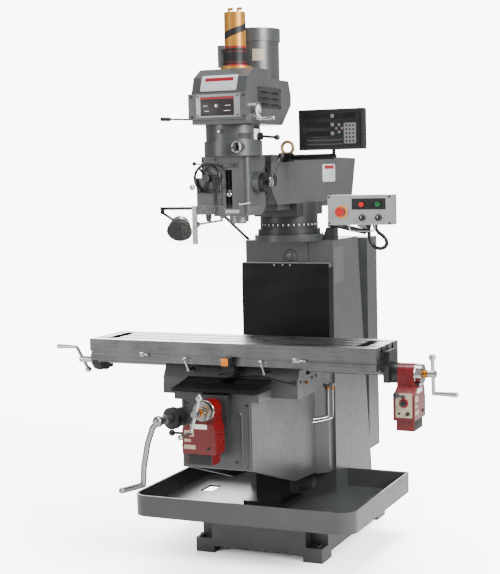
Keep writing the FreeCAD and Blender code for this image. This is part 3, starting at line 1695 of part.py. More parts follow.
def make_belt_housing():
    """The belt housing: a hollow shell over the drive belt, with the speed cover in front."""
    shell = plate("belt_shell", "YZ", belt_outline("0"), "-belt_half", "belt_half")
    inside = plate("belt_inside", "YZ", belt_outline("belt_wall"), "-belt_half + belt_wall", "belt_half - belt_wall")
    cover = block(
        "belt_cover",
        ("-cover_half", "cover_half"),
        ("-belt_front - cover_thick", "-belt_front + 1"),
        ("cover_low", "cover_low + cover_high"),
    )
    drive_hole = rod("belt_drive_hole", "Z", "0", "spindle_front", "gear_top - 1", "34", "belt_floor + 4")
    wheel_hole = rod(
        "belt_wheel_hole", "X", "belt_half - belt_wall - 1", "-speed_wheel_y", "speed_wheel_z", "9 + fit_gap", "belt_wall + 2"
    )
    brake_hole = rod(
        "belt_brake_hole", "X", "-belt_half - 1", "-brake_y", "brake_z + 14", "7 + fit_gap", "belt_wall + 2"
    )
    node(cut("belt_housing", join("belt_solid", [cut("belt_open", shell, [inside]), cover]), [drive_hole, wheel_hole, brake_hole]))


def make_motor():
    """The drive motor: a round case, a wider fan cap and a terminal box."""
    case = rod("motor_case", "Z", "0", "-motor_y", "motor_low + running_gap", "motor_radius", "motor_top - motor_low - running_gap - 4")
    cap = rod("motor_cap", "Z", "0", "-motor_y", "motor_cap_low", "motor_cap_radius", "motor_top - motor_cap_low")
    box = block(
        "motor_box",
        ("-motor_radius - 42", "-motor_radius + 12"),
        ("-motor_y - 48", "-motor_y + 48"),
        ("motor_low + 66", "motor_low + 166"),
    )
    node(join("drive_motor", [case, cap, box]))


def make_bar_unit():
    """The power draw bar unit: a flanged cylinder over the spindle with two air fittings."""
    base = "belt_top + running_gap"
    flange = rod("bar_flange", "Z", "0", "spindle_front", base, "bar_flange_radius", "bar_flange_high")
    case = rod("bar_case", "Z", "0", "spindle_front", f"{base} + 1", "bar_unit_radius", f"bar_unit_top - ({base}) - 1")
    fittings = []
    for i, (x, y) in enumerate((("-22", "spindle_front - 12"), ("20", "spindle_front - 8"))):
        stem = rod(f"bar_fitting_stem_{i}", "Z", x, y, "bar_unit_top - 1", "5", "13")
        head = rod(f"bar_fitting_head_{i}", "X", f"{x} - 4", y, "bar_unit_top + 14", "6.5", "22")
        fittings += [stem, head]
    node(join("draw_bar_unit", [flange, case] + fittings))


def make_quill():
    """The quill and the spindle that turns in it, bored for a collet."""
    top = "quill_low + quill_high"
    sleeve = rod("quill_sleeve", "Z", "0", "spindle_front", "quill_low", "quill_radius", "quill_high")
    bore = rod("quill_bore", "Z", "0", "spindle_front", "quill_low - 1", "spindle_radius + fit_gap", "quill_high + 2")
    node(cut("quill", sleeve, [bore]))
    shaft = rod("spindle_shaft", "Z", "0", "spindle_front", "quill_low - 1", "spindle_radius", f"{top} - quill_low + 1 - 4")
    nose = rod(
        "spindle_nose",
        "Z",
        "0",
        "spindle_front",
        "spindle_nose_z",
        "spindle_nose_radius",
        "quill_low - spindle_nose_z - running_gap",
    )
    socket = rod("spindle_socket", "Z", "0", "spindle_front", "spindle_nose_z - 1", "collet_radius", "collet_deep + 1")
    node(cut("spindle", join("spindle_solid", [shaft, nose]), [socket]))


def make_head_controls():
    """The levers, wheels and knobs on the head, each on its own pin."""
    hub_x = "feed_hub_x + running_gap"
    shaft = rod("lever_shaft", "X", "housing_right - 36", "-feed_hub_y", "feed_hub_z", "14", "feed_hub_x - housing_right + 80")
    drum = rod("lever_drum", "X", hub_x, "-feed_hub_y", "feed_hub_z", "feed_hub_radius", "22")
    start = spot("feed_hub_x + 38", "-feed_hub_y", "feed_hub_z")
    reach = value("feed_lever_long")
    end = start + FreeCAD.Vector(0, reach * 0.755, reach * 0.656)
    arm = bar("lever_arm", start, end, 5)
    knob = doc.addObject("Part::Feature", "lever_knob")
    knob.Shape = Part.makeSphere(15, end)
    node(join("quill_feed_lever", [shaft, drum, arm, knob]))

    rim = hoop("wheel_ring", "Y", "-wheel_x", "-wheel_y", "wheel_z", "wheel_radius", "wheel_rim")
    boss = rod("wheel_boss", "Y", "-wheel_x", "-wheel_y - 14", "wheel_z", "17", "wheel_y - housing_front + 14 - 22 - running_gap")
    stem = rod("wheel_stem", "Y", "-wheel_x", "-wheel_y", "wheel_z", "9", "wheel_y - housing_front + 20")
    spokes = []
    hub = spot("-wheel_x", "-wheel_y", "wheel_z")
    for i in range(3):
        angle = math.radians(90 + 120 * i + 40)
        tip = hub + FreeCAD.Vector(math.cos(angle), 0, math.sin(angle)) * value("wheel_radius")
        spokes.append(bar(f"wheel_spoke_{i}", hub, tip, 5))
    grip_at = hub + FreeCAD.Vector(-0.42, 0, -0.9) * value("wheel_radius")
    grip = bar("wheel_grip", grip_at, grip_at + FreeCAD.Vector(0, -34, 0), 8)
    node(join("fine_feed_handwheel", [rim, boss, stem, grip] + spokes))

    x = "belt_half + running_gap"
    dial = rod("speed_dial", "X", x, "-speed_wheel_y", "speed_wheel_z", "speed_wheel_radius", "20")
    pin = rod("speed_pin", "X", "belt_half - belt_wall - 6", "-speed_wheel_y", "speed_wheel_z", "9", "belt_wall + 8")
    speed_end = spot(f"{x} + 22", "-speed_wheel_y + 22", "speed_wheel_z - 34")
    spindle_grip = bar("speed_grip", speed_end, speed_end + FreeCAD.Vector(58, 0, 2), 8)
    web = bar("speed_web", spot(f"{x} + 14", "-speed_wheel_y", "speed_wheel_z"), speed_end, 9)
    node(join("speed_handwheel", [dial, pin, spindle_grip, web]))

    root = spot("-belt_half - running_gap - 12", "-brake_y", "brake_z + 14")
    toward = FreeCAD.Vector(-0.84, -0.54, 0.03)
    tip = root + toward * value("brake_long")
    brake_pin = rod("brake_pin", "X", "-belt_half - 10", "-brake_y", "brake_z + 14", "7", "belt_wall + 12")
    brake_hub = rod("brake_hub", "X", "-belt_half - running_gap - 16", "-brake_y", "brake_z + 14", "13", "16")
    brake = bar("brake_arm", root, tip, 4)
    brake_knob = bar("brake_knob", tip - toward * 20, tip + toward * 12, 9)
    node(join("brake_lever", [brake_pin, brake_hub, brake, brake_knob]))

    reach = "gear_neck_radius + 2"
    disc = rod("range_disc", "X", f"{reach} + running_gap", "gear_y", "range_z", "17", "16")
    range_pin = rod("range_pin", "X", f"{reach} - 22", "gear_y", "range_z", "9", "40")
    range_start = spot(f"{reach} + 14", "gear_y", "range_z")
    handle = bar("range_handle", range_start, range_start + FreeCAD.Vector(1, 0.1, -0.1) * value("range_long"), 6)
    range_knob = doc.addObject("Part::Feature", "range_knob")
    range_knob.Shape = Part.makeSphere(13, range_start + FreeCAD.Vector(1, 0.1, -0.1) * value("range_long"))
    node(join("range_lever", [disc, range_pin, handle, range_knob]))

    front = "selector_y - running_gap"
    face = rod("selector_face", "Y", "selector_x", f"{front} - 10", "selector_z", "selector_radius", "10")
    select_pin = rod("selector_pin", "Y", "selector_x", f"{front} - 9", "selector_z", "8", "52")
    pointer = block(
        "selector_pointer",
        ("selector_x - 5", "selector_x + 5"),
        (f"{front} - 24", f"{front} - 9"),
        ("selector_z - 20", "selector_z + 20"),
    )
    node(join("feed_selector", [face, select_pin, pointer]))

    lock_y = "-housing_front"
    lock = rod("lock_pin", "Y", "housing_right - 34", f"{lock_y} - 24", "housing_low + 52", "6", "58")
    lock_start = spot("housing_right - 34", f"{lock_y} - 20", "housing_low + 52")
    lock_arm = bar("lock_arm", lock_start, lock_start + FreeCAD.Vector(46, -6, 6), 6)
    node(join("quill_lock", [lock, lock_arm]))


# ---------------------------------------------------------------- splash shield


def make_shield():
    """The clear splash shield on its upright bar, which a rod holds from the quill housing."""
    bar_x = "-shield_bar_x"
    upright_bar = block(
        "shield_upright",
        (f"{bar_x} - 11", f"{bar_x} + 11"),
        ("-shield_y + shield_thick + running_gap", "-shield_y + shield_thick + 9"),
        ("shield_low + 6", "shield_low + shield_high - 4"),
    )
    clamp_z = "shield_low + 90"
    clamp = rod("shield_clamp", "Y", bar_x, "-shield_y + shield_thick + 8", clamp_z, "13", "22")
    foot_x, foot_y = "-housing_left_low + 14", "-housing_front + 46"
    arm = rail(
        "shield_rod",
        [
            spot(bar_x, "-shield_y + 24", clamp_z),
            spot(foot_x, foot_y, "housing_low - 20"),
            spot(foot_x, foot_y, "housing_low - 8"),
        ],
        4.5,
    )
    foot = rod("shield_rod_foot", "Z", foot_x, foot_y, "housing_low - 12", "9", "12")
    node(join("shield_bar", [upright_bar, clamp, arm, foot]))
    wing = "shield_wing * 0.7071"
    thick = "shield_thick"
    node(
        plate(
            "splash_shield",
            "XY",
            [
                ("shield_right", "-shield_y"),
                ("shield_right", f"-shield_y + {thick}"),
                (f"-shield_x + {thick} * 0.4142", f"-shield_y + {thick}"),
                (f"-shield_x - {wing} + {thick} * 0.7071", f"-shield_y + {wing} + {thick} * 0.7071"),
                (f"-shield_x - {wing}", f"-shield_y + {wing}"),
                ("-shield_x", "-shield_y"),
            ],
            "shield_low",
            "shield_low + shield_high",
        )
    )


# ---------------------------------------------------------------- work lamp


def make_lamp():
    """The work lamp: two arms from the foot on the column and a round head on a yoke."""
    foot = spot("-column_half - 34", "lamp_base_y", "lamp_base_z + lamp_base_high + 10")
    elbow = FreeCAD.Vector(-224, -300, 1592)
    wrist = FreeCAD.Vector(-470, -420, 1606)
    radius = value("lamp_arm_radius")
    collar = rod("lamp_collar", "Z", "-column_half - 34", "lamp_base_y", "lamp_base_z + lamp_base_high + running_gap", "15", "19")
    collar_hole = rod(
        "lamp_collar_hole", "Z", "-column_half - 34", "lamp_base_y", "lamp_base_z + lamp_base_high - 1", "8 + fit_gap", "30"
    )
    lower = bar("lamp_lower_bar", foot, elbow, radius)
    knuckle = doc.addObject("Part::Feature", "lamp_knuckle")
    knuckle.Shape = Part.makeCylinder(13, 22, elbow - FreeCAD.Vector(0, 0, 11))
    elbow_pin = doc.addObject("Part::Feature", "lamp_elbow_pin")
    elbow_pin.Shape = Part.makeCylinder(5, 40, elbow)
    lower_solid = join("lamp_lower_solid", [collar, lower, knuckle, elbow_pin])
    node(cut("lamp_lower_arm", lower_solid, [collar_hole]))
    lift = FreeCAD.Vector(0, 0, 11.3)
    top_knuckle = doc.addObject("Part::Feature", "lamp_top_knuckle")
    top_knuckle.Shape = Part.makeCylinder(13, 22, elbow + lift)
    top_hole = doc.addObject("Part::Feature", "lamp_top_hole")
    top_hole.Shape = Part.makeCylinder(5.05, 60, elbow - FreeCAD.Vector(0, 0, 5))
    upper = bar("lamp_upper_bar", elbow + lift + FreeCAD.Vector(0, 0, 11), wrist + FreeCAD.Vector(0, 0, 12), radius)
    wrist_ball = doc.addObject("Part::Feature", "lamp_wrist_ball")
    wrist_ball.Shape = Part.makeCylinder(11, 14, wrist + FreeCAD.Vector(0, 0, 5))
    wrist_pin = doc.addObject("Part::Feature", "lamp_wrist_pin")
    wrist_pin.Shape = Part.makeCylinder(4, 34, wrist - FreeCAD.Vector(0, 0, 16))
    node(cut("lamp_upper_arm", join("lamp_upper_solid", [top_knuckle, upper, wrist_ball, wrist_pin]), [top_hole]))
    centre = FreeCAD.Vector(-392, -400, 1521)
    facing = FreeCAD.Vector(0.25, -0.72, -0.64).normalize()
    disc = doc.addObject("Part::Feature", "lamp_disc")
    disc.Shape = Part.makeCylinder(value("lamp_radius"), value("lamp_thick"), centre, facing)
    yoke_top = doc.addObject("Part::Feature", "lamp_yoke_top")
    yoke_top.Shape = Part.makeCylinder(10, 18, wrist - FreeCAD.Vector(0, 0, 13.6))
    across = facing.cross(FreeCAD.Vector(0, 0, 1)).normalize()
    yoke = bar("lamp_yoke", wrist - FreeCAD.Vector(0, 0, 8), centre + facing * 10 + across * -44, 6)
    yoke_hole = doc.addObject("Part::Feature", "lamp_yoke_hole")
    yoke_hole.Shape = Part.makeCylinder(4.05, 60, wrist - FreeCAD.Vector(0, 0, 40))
    node(cut("lamp_head", join("lamp_solid", [disc, yoke_top, yoke]), [yoke_hole]))


make_base()
make_bolts()
make_pan()
make_column()
make_curtain()
make_cabinet()
make_pedestal()
make_brackets()
make_knee()
make_knee_bearings()
make_cross_feed_unit()
make_cross_screw()
make_feed_lever(
    "cross_feed_lever",
    "-feed_unit_wide / 2 - feed_unit_shift - lever_radius - 4 - running_gap",
    "-knee_front - feed_standoff - feed_unit_thick / 2",
    "cross_screw_z - feed_unit_drop / 2 - 16",
    FreeCAD.Vector(-1, -0.1, 0),
)
make_knee_crank()
make_lift_screw()
make_way_cover()
make_saddle()
make_limit_switch()
make_lock_lever("table_lock_left", "-lock_x")
make_lock_lever("table_lock_right", "lock_x")
make_table()
make_end_brackets()
make_table_feed_unit()
make_table_screw()
make_feed_lever(
    "table_feed_lever",
    "end_x + end_bracket_thick + bearing_long + feed_unit_thick / 2",
    "-table_y - feed_unit_wide / 2 - feed_unit_shift - lever_radius - 4 - running_gap",
    "table_screw_z - feed_shoulder_drop - 34",
    FreeCAD.Vector(-0.3, -0.6, 0.2),
)
make_turret()
make_ram()
make_readout()
make_panel()
make_adapter()
make_quill_housing()
make_gear_housing()
make_belt_housing()
make_motor()
make_bar_unit()
make_quill()
make_head_controls()
make_shield()
make_lamp()

doc.recompute()
for item in doc.Objects:
    if {"Invalid", "Error"} & set(item.State):
        raise RuntimeError(f"{item.Name}: {item.State}")
os.makedirs("parts", exist_ok=True)
for item in NODES:
    shape = item.Shape
    if shape.isNull() or not shape.isValid():
        raise RuntimeError(f"{item.Label}: the shape is not valid")
    shape.exportStep(f"parts/{item.Label}.step")
    print(f"{item.Label}: {len(shape.Solids)} solid, {shape.Volume / 1000:.0f} cm3")
print(f"{len(NODES)} sub-parts")
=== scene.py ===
import logging
import math
from dataclasses import dataclass, field
from enum import Enum

import bmesh
import bpy
from mathutils import Matrix, Vector
from mathutils.bvhtree import BVHTree


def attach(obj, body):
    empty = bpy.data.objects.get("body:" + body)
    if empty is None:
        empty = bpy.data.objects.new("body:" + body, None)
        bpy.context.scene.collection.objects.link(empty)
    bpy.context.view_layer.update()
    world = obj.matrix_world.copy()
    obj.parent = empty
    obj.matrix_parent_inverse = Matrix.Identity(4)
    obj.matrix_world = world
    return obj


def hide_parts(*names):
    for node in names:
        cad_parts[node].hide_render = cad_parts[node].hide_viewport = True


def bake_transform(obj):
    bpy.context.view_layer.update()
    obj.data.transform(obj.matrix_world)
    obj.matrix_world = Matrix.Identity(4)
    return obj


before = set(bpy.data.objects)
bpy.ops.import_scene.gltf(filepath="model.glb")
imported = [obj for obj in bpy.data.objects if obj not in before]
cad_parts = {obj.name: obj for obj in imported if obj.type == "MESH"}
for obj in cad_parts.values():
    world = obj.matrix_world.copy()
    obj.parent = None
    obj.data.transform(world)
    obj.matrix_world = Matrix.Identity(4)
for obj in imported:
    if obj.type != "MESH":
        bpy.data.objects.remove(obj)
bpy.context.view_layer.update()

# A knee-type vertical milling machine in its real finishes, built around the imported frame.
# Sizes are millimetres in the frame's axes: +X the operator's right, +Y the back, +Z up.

LOG = logging.getLogger("mill")
MM = 0.001

Point = tuple[float, float, float]
Socket = bpy.types.NodeSocket


class Facing(Enum):
    """The direction that a flat detail faces, as its outward normal."""

    RIGHT = (1.0, 0.0, 0.0)
    LEFT = (-1.0, 0.0, 0.0)
    FRONT = (0.0, -1.0, 0.0)
    BACK = (0.0, 1.0, 0.0)
    UP = (0.0, 0.0, 1.0)
    DOWN = (0.0, 0.0, -1.0)

    @property
    def normal(self) -> Vector:
        """The outward normal as a vector."""
        return Vector(self.value)


# ---------------------------------------------------------------- finishes


def linear(code: str) -> tuple[float, float, float, float]:
    """Turn an sRGB hex colour into the linear colour that a shader takes.

    Args:
        code: the colour as "#rrggbb".

    Returns:
        Linear red, green, blue and an alpha of one.
    """
    shares = [int(code[at : at + 2], 16) / 255 for at in (1, 3, 5)]
    red, green, blue = (s / 12.92 if s <= 0.04045 else ((s + 0.055) / 1.055) ** 2.4 for s in shares)
    return red, green, blue, 1.0


def per_metre(size: float) -> float:
    """The noise scale whose features are about this many millimetres wide."""
    return 1000.0 / size


class Recipe:
    """A material in the making: its tree, its shader and the object coordinates."""

    def __init__(self, name: str) -> None:
        """Start a material with an empty recipe.

        Args:
            name: the finish's name.
        """
        self.material = bpy.data.materials.new(name)
        self.material.use_nodes = True
        self.tree = self.material.node_tree
        self.shader = self.tree.nodes["Principled BSDF"]
        self.place = self.add("ShaderNodeTexCoord").outputs["Object"]

    def add(self, kind: str, inputs: dict | None = None, **settings: object) -> bpy.types.Node:
        """Add a node with its settings, values and links.

        Args:
            kind: the node's type.
            inputs: values or output sockets by input name or number.
            settings: the node's own properties.

        Returns:
            The new node.
        """
        node = self.tree.nodes.new(kind)
        for name, setting in settings.items():
            setattr(node, name, setting)
        for key, value in (inputs or {}).items():
            self.put(node.inputs[key], value)
        return node

    def put(self, socket: Socket, value: object) -> None:
        """Link an output to an input, or give the input a plain value.

        Args:
            socket: the input.
            value: an output socket or a plain value.
        """
        if isinstance(value, Socket):
            self.tree.links.new(value, socket)
        else:
            socket.default_value = value

    def dress(self, **values: object) -> None:
        """Set or link the shader's inputs by name, with an underscore for each space."""
        for key, value in values.items():
            self.put(self.shader.inputs[key.replace("_", " ")], value)

    def noise(self, size: float | Point, detail: float) -> Socket:
        """Add a noise pattern.

        Args:
            size: how many millimetres wide its features are, or how many along each axis.
            detail: how many finer layers it has.

        Returns:
            The pattern, from 0 to 1.
        """
        place, scale = self.place, 1.0
        if isinstance(size, tuple):
            sizes = tuple(per_metre(s) for s in size)
            place = self.add("ShaderNodeMapping", {"Vector": place, "Scale": sizes}).outputs["Vector"]
        else:
            scale = per_metre(size)
        inputs = {"Vector": place, "Scale": scale, "Detail": detail}
        return self.add("ShaderNodeTexNoise", inputs).outputs["Fac"]

    def span(self, factor: Socket, low: float, high: float, start: float = 0.3, end: float = 0.7) -> Socket:
        """Spread the stretch of a pattern between start and end over the values from low to high."""
        ends = {"From Min": start, "From Max": end, "To Min": low, "To Max": high}
        return self.add("ShaderNodeMapRange", {"Value": factor} | ends).outputs["Result"]

    def bump(self, height: Socket, strength: float, depth: float, under: Socket | None = None) -> Socket:
        """Turn a pattern into relief.

        Args:
            height: the pattern.
            strength: how strongly it is felt, from 0 to 1.
            depth: its depth in metres.
            under: another relief that it lies on, if any.

        Returns:
            The normal.
        """
        inputs = {"Height": height, "Strength": strength, "Distance": depth}
        if under is not None:
            inputs["Normal"] = under
        return self.add("ShaderNodeBump", inputs).outputs["Normal"]

    def shades(self, colour: str, factor: Socket, dark: float, light: float) -> Socket:
        """Vary a colour's brightness with a pattern.

        Args:
            colour: the colour as "#rrggbb".
            factor: the pattern, from 0 to 1.
            dark: the brightness at its low end.
            light: the brightness at its high end.

        Returns:
            The colour output.
        """
        ramp = self.add("ShaderNodeValToRGB", {"Fac": factor})
        tone = linear(colour)
        for element, share, at in zip(ramp.color_ramp.elements, (dark, light), (0.3, 0.7)):
            element.position = at
            element.color = [min(1.0, part * share) for part in tone[:3]] + [1.0]
        return ramp.outputs["Color"]


@dataclass(frozen=True)
class Finish:
    """What every finish has: a name, a colour and its gloss."""

    name: str
    colour: str
    roughness: float = 0.4

    def make(self) -> bpy.types.Material:
        """Build the finish's material; each finish has its own."""
        raise NotImplementedError


@dataclass(frozen=True)
class MachineEnamel(Finish):
    """Two-pack machine enamel over filled grey cast iron.

    A satin coat with a fine orange peel, slow waves of the filled casting, and paler edges that are partly
    rubbed wear and partly a painted highlight.
    """

    worn_and_highlight_colour: str = "#a4a5a3"
    wear_and_highlight_share: float = 0.45
    peel: float = 0.10
    coat: float = 0.12

    def make(self) -> bpy.types.Material:
        """Build the enamel's material."""
        recipe = Recipe(self.name)
        # the filler under the paint waves over about 140 mm, the orange peel over 3 mm
        wave = recipe.noise(140, 3.0)
        peel = recipe.noise(3, 2.0)
        cast = recipe.noise(22, 2.0)
        colour = recipe.shades(self.colour, wave, 0.9, 1.1)
        # paler edges, 2 mm wide and broken up: partly paint rubbed through to the primer, partly a painted
        # highlight
        soft = recipe.add("ShaderNodeBevel", {"Radius": 0.0022}, samples=4).outputs["Normal"]
        true = recipe.add("ShaderNodeNewGeometry").outputs["Normal"]
        turn = recipe.add("ShaderNodeVectorMath", {0: soft, 1: true}, operation="DOT_PRODUCT")
        edge = recipe.span(turn.outputs["Value"], 0.0, self.wear_and_highlight_share, 0.985, 0.88)
        wear_and_highlight_mask = recipe.add("ShaderNodeMath", {0: edge, 1: cast}, operation="MULTIPLY").outputs["Value"]
        wear_and_highlight_mix = recipe.add("ShaderNodeMix", {0: wear_and_highlight_mask, 6: colour, 7: linear(self.worn_and_highlight_colour)}, data_type="RGBA")
        relief = recipe.bump(peel, self.peel, 0.0004)
        recipe.dress(
            Base_Color=wear_and_highlight_mix.outputs[2],
            Roughness=recipe.span(cast, self.roughness - 0.05, self.roughness + 0.07),
            Normal=recipe.bump(cast, 0.12, 0.0012, relief),
            Coat_Weight=self.coat,
            Coat_Roughness=0.25,
        )
        return recipe.material


@dataclass(frozen=True)
class WorkedMetal(Finish):
    """Bare metal with the marks of how it was cut: long fine lines one way and slow stains across.

    The lines give ground iron and brushed sheet their streaked gloss, and turned steel its soft bands.
    """

    run: Point = (300.0, 1.2, 1.2)
    lines: float = 0.12
    stain: float = 0.12
    spread: float = 0.09
    metallic: float = 1.0

    def make(self) -> bpy.types.Material:
        """Build the metal's material."""
        recipe = Recipe(self.name)
        # the cutter's lines are drawn 1.2 mm apart, wider than in life, so that they show
        lines = recipe.noise(self.run, 3.0)
        stains = recipe.noise(90, 5.0)
        both = recipe.add("ShaderNodeMix", {0: 0.5, 2: lines, 3: stains}).outputs[0]
        recipe.dress(
            Base_Color=recipe.shades(self.colour, both, 1.0 - self.stain, 1.0 + self.stain),
            Roughness=recipe.span(both, self.roughness - self.spread, self.roughness + self.spread),
            Normal=recipe.bump(lines, self.lines, 0.0002),
            Metallic=self.metallic,
        )
        return recipe.material


@dataclass(frozen=True)
class Moulded(Finish):
    """Moulded plastic or rubber: one colour in the mass, a fine spark-eroded grain and slight mottling."""

    relief: float = 0.15
    coat: float = 0.0
    mottle: float = 0.08

    def make(self) -> bpy.types.Material:
        """Build the moulding's material."""
        recipe = Recipe(self.name)
        grain = recipe.noise(1.2, 2.0)
        cloud = recipe.noise(45, 3.0)
        recipe.dress(
            Base_Color=recipe.shades(self.colour, cloud, 1.0 - self.mottle, 1.0 + self.mottle),
            Roughness=recipe.span(cloud, self.roughness - 0.05, self.roughness + 0.08),
            Normal=recipe.bump(grain, self.relief, 0.0003),
            Coat_Weight=self.coat,
            Coat_Roughness=0.15,
        )
        return recipe.material


@dataclass(frozen=True)
class RubberSheet(Finish):
    """Calendered black rubber sheet: a matt face with shallow creases across it, painted darker in their
    hollows and lighter on their ridges as painted shade and highlight.
    """

    crease: float = 60.0

    def make(self) -> bpy.types.Material:
        """Build the rubber's material."""
        recipe = Recipe(self.name)
        crease = recipe.noise((400.0, 400.0, self.crease), 4.0)
        grain = recipe.bump(recipe.noise(1.5, 2.0), 0.12, 0.0003)
        recipe.dress(
            # the colour follows the creases: painted shade in their hollows, painted highlight on their
            # ridges
            Base_Color=recipe.shades(self.colour, crease, 0.9, 1.15),
            Roughness=recipe.span(crease, self.roughness - 0.02, self.roughness + 0.04),
            Normal=recipe.bump(crease, 0.12, 0.003, grain),
            Specular_IOR_Level=0.22,
        )
        return recipe.material


@dataclass(frozen=True)
class ClearSheet(Finish):
    """Bent polycarbonate sheet: clear, faintly warm, with fine wiping scratches."""

    body: float = 0.06

    def make(self) -> bpy.types.Material:
        """Build the clear sheet's material."""
        recipe = Recipe(self.name)
        # wiping leaves scratches about 30 mm long and 1 mm apart
        scratch = recipe.noise((30.0, 30.0, 1.0), 2.0)
        recipe.dress(
            Base_Color=linear(self.colour),
            Roughness=recipe.span(scratch, 0.03, 0.16, 0.4, 0.7),
            Alpha=self.body,
        )
        return recipe.material


# each enamel's worn colour paints its edges paler: partly rubbed wear, partly a painted highlight
GREY_ENAMEL = MachineEnamel("grey_machine_enamel", "#3d3f3f", 0.36, worn_and_highlight_colour="#86898a", coat=0.3)
PAN_ENAMEL = MachineEnamel("grey_enamel_on_sheet_steel", "#3b3d3d", 0.34, worn_and_highlight_colour="#86898a", wear_and_highlight_share=0.6, coat=0.3)
DARK_ENAMEL = MachineEnamel("dark_grey_enamel", "#1f2121", 0.42, worn_and_highlight_colour="#5c5e5f", wear_and_highlight_share=0.4)
BLACK_ENAMEL = MachineEnamel("black_enamel", "#0b0c0c", 0.4, worn_and_highlight_colour="#3a3b3c", wear_and_highlight_share=0.35, coat=0.08)
RED_ENAMEL = MachineEnamel("gloss_red_enamel", "#5e0003", 0.28, worn_and_highlight_colour="#8a0a14", wear_and_highlight_share=0.2, peel=0.04, coat=0.3)
GROUND_IRON = WorkedMetal("surface_ground_cast_iron", "#7d7f7f", 0.3, run=(260.0, 1.3, 1.3))
TURNED_STEEL = WorkedMetal("turned_steel", "#9c9d9c", 0.3, run=(1.2, 1.2, 60.0))
BARE_STEEL = WorkedMetal("cold_rolled_steel_strip", "#8b8d8c", 0.34, run=(120.0, 2.0, 2.0))
POLISHED_ALLOY = WorkedMetal(
    "polished_aluminium_casting", "#b9b9b7", 0.2, run=(8.0, 8.0, 8.0), lines=0.05, stain=0.06
)
BRUSHED_SHEET = WorkedMetal(
    "brushed_aluminium_sheet", "#a6a8a7", 0.42, run=(90.0, 1.2, 1.2), stain=0.06, metallic=0.7
)
GOLD_ANODISED = WorkedMetal(
    "gold_anodised_aluminium", "#b87f33", 0.42, run=(5.0, 5.0, 220.0), stain=0.09, metallic=0.55
)
CAST_BRONZE = WorkedMetal("cast_bronze", "#9c8058", 0.46, run=(9.0, 9.0, 9.0), lines=0.3, metallic=0.8)
BRASS = WorkedMetal("turned_brass", "#b06f22", 0.3, run=(1.2, 1.2, 1.2))
WAY_RUBBER = RubberSheet("calendered_rubber_sheet", "#040405", 0.38)
APRON_RUBBER = RubberSheet("moulded_rubber_apron", "#050506", 0.4, crease=25.0)
SLEEVE = Moulded("pvc_cable_sleeve", "#060607", 0.42, relief=0.1)
BLACK_PLASTIC = Moulded("moulded_black_phenolic", "#070808", 0.33, coat=0.15)
MATT_BLACK = Moulded("matt_black_coating", "#0b0b0c", 0.55)
READOUT_GREY = Moulded("grained_abs_bezel", "#131110", 0.5, relief=0.3)
SCREEN_FACE = Moulded("printed_polyester_keypad", "#0e1013", 0.35, relief=0.05)
DARK_WINDOW = Moulded("tinted_acrylic_window", "#080504", 0.12, relief=0.0)
KEY_GREY = Moulded("printed_grey_keys", "#6b6a68", 0.45)
YELLOW_PLASTIC = Moulded("yellow_polycarbonate", "#e07c00", 0.3, coat=0.2)
AMBER_RING = Moulded("yellow_ring", "#d98300", 0.35, coat=0.2)
RED_PLASTIC = Moulded("red_push_button", "#b80a05", 0.3, coat=0.25)
GREEN_PLASTIC = Moulded("green_push_button", "#00592c", 0.3, coat=0.25)
RED_PRINT = Moulded("red_printed_band", "#8c0414", 0.4, relief=0.03)
WHITE_PRINT = Moulded("white_printed_plate", "#d9dad8", 0.4, relief=0.03)
SILVER_PRINT = Moulded("silver_printed_plate", "#b9bcbd", 0.32, relief=0.04)
BEIGE_PRINT = Moulded("beige_printed_plate", "#a79a84", 0.42, relief=0.05)
BROWN_PRINT = Moulded("brown_printed_plate", "#231d1c", 0.38, relief=0.05)
LAMP_LENS = Moulded("frosted_lamp_lens", "#b9bdbf", 0.18, coat=0.5, relief=0.3)
FLOOR_PAINT = Moulded("pale_floor_paint", "#f4f4f3", 0.7, relief=0.02, mottle=0.01)
DARK_PRINT = Moulded("dark_printed_plate", "#4c4e4f", 0.4, relief=0.05)
ORANGE_POINTER = Moulded("orange_pointer", "#d8592c", 0.4)
CLEAR_SHEET = ClearSheet("bent_polycarbonate_sheet", "#8f8d86", 0.06)

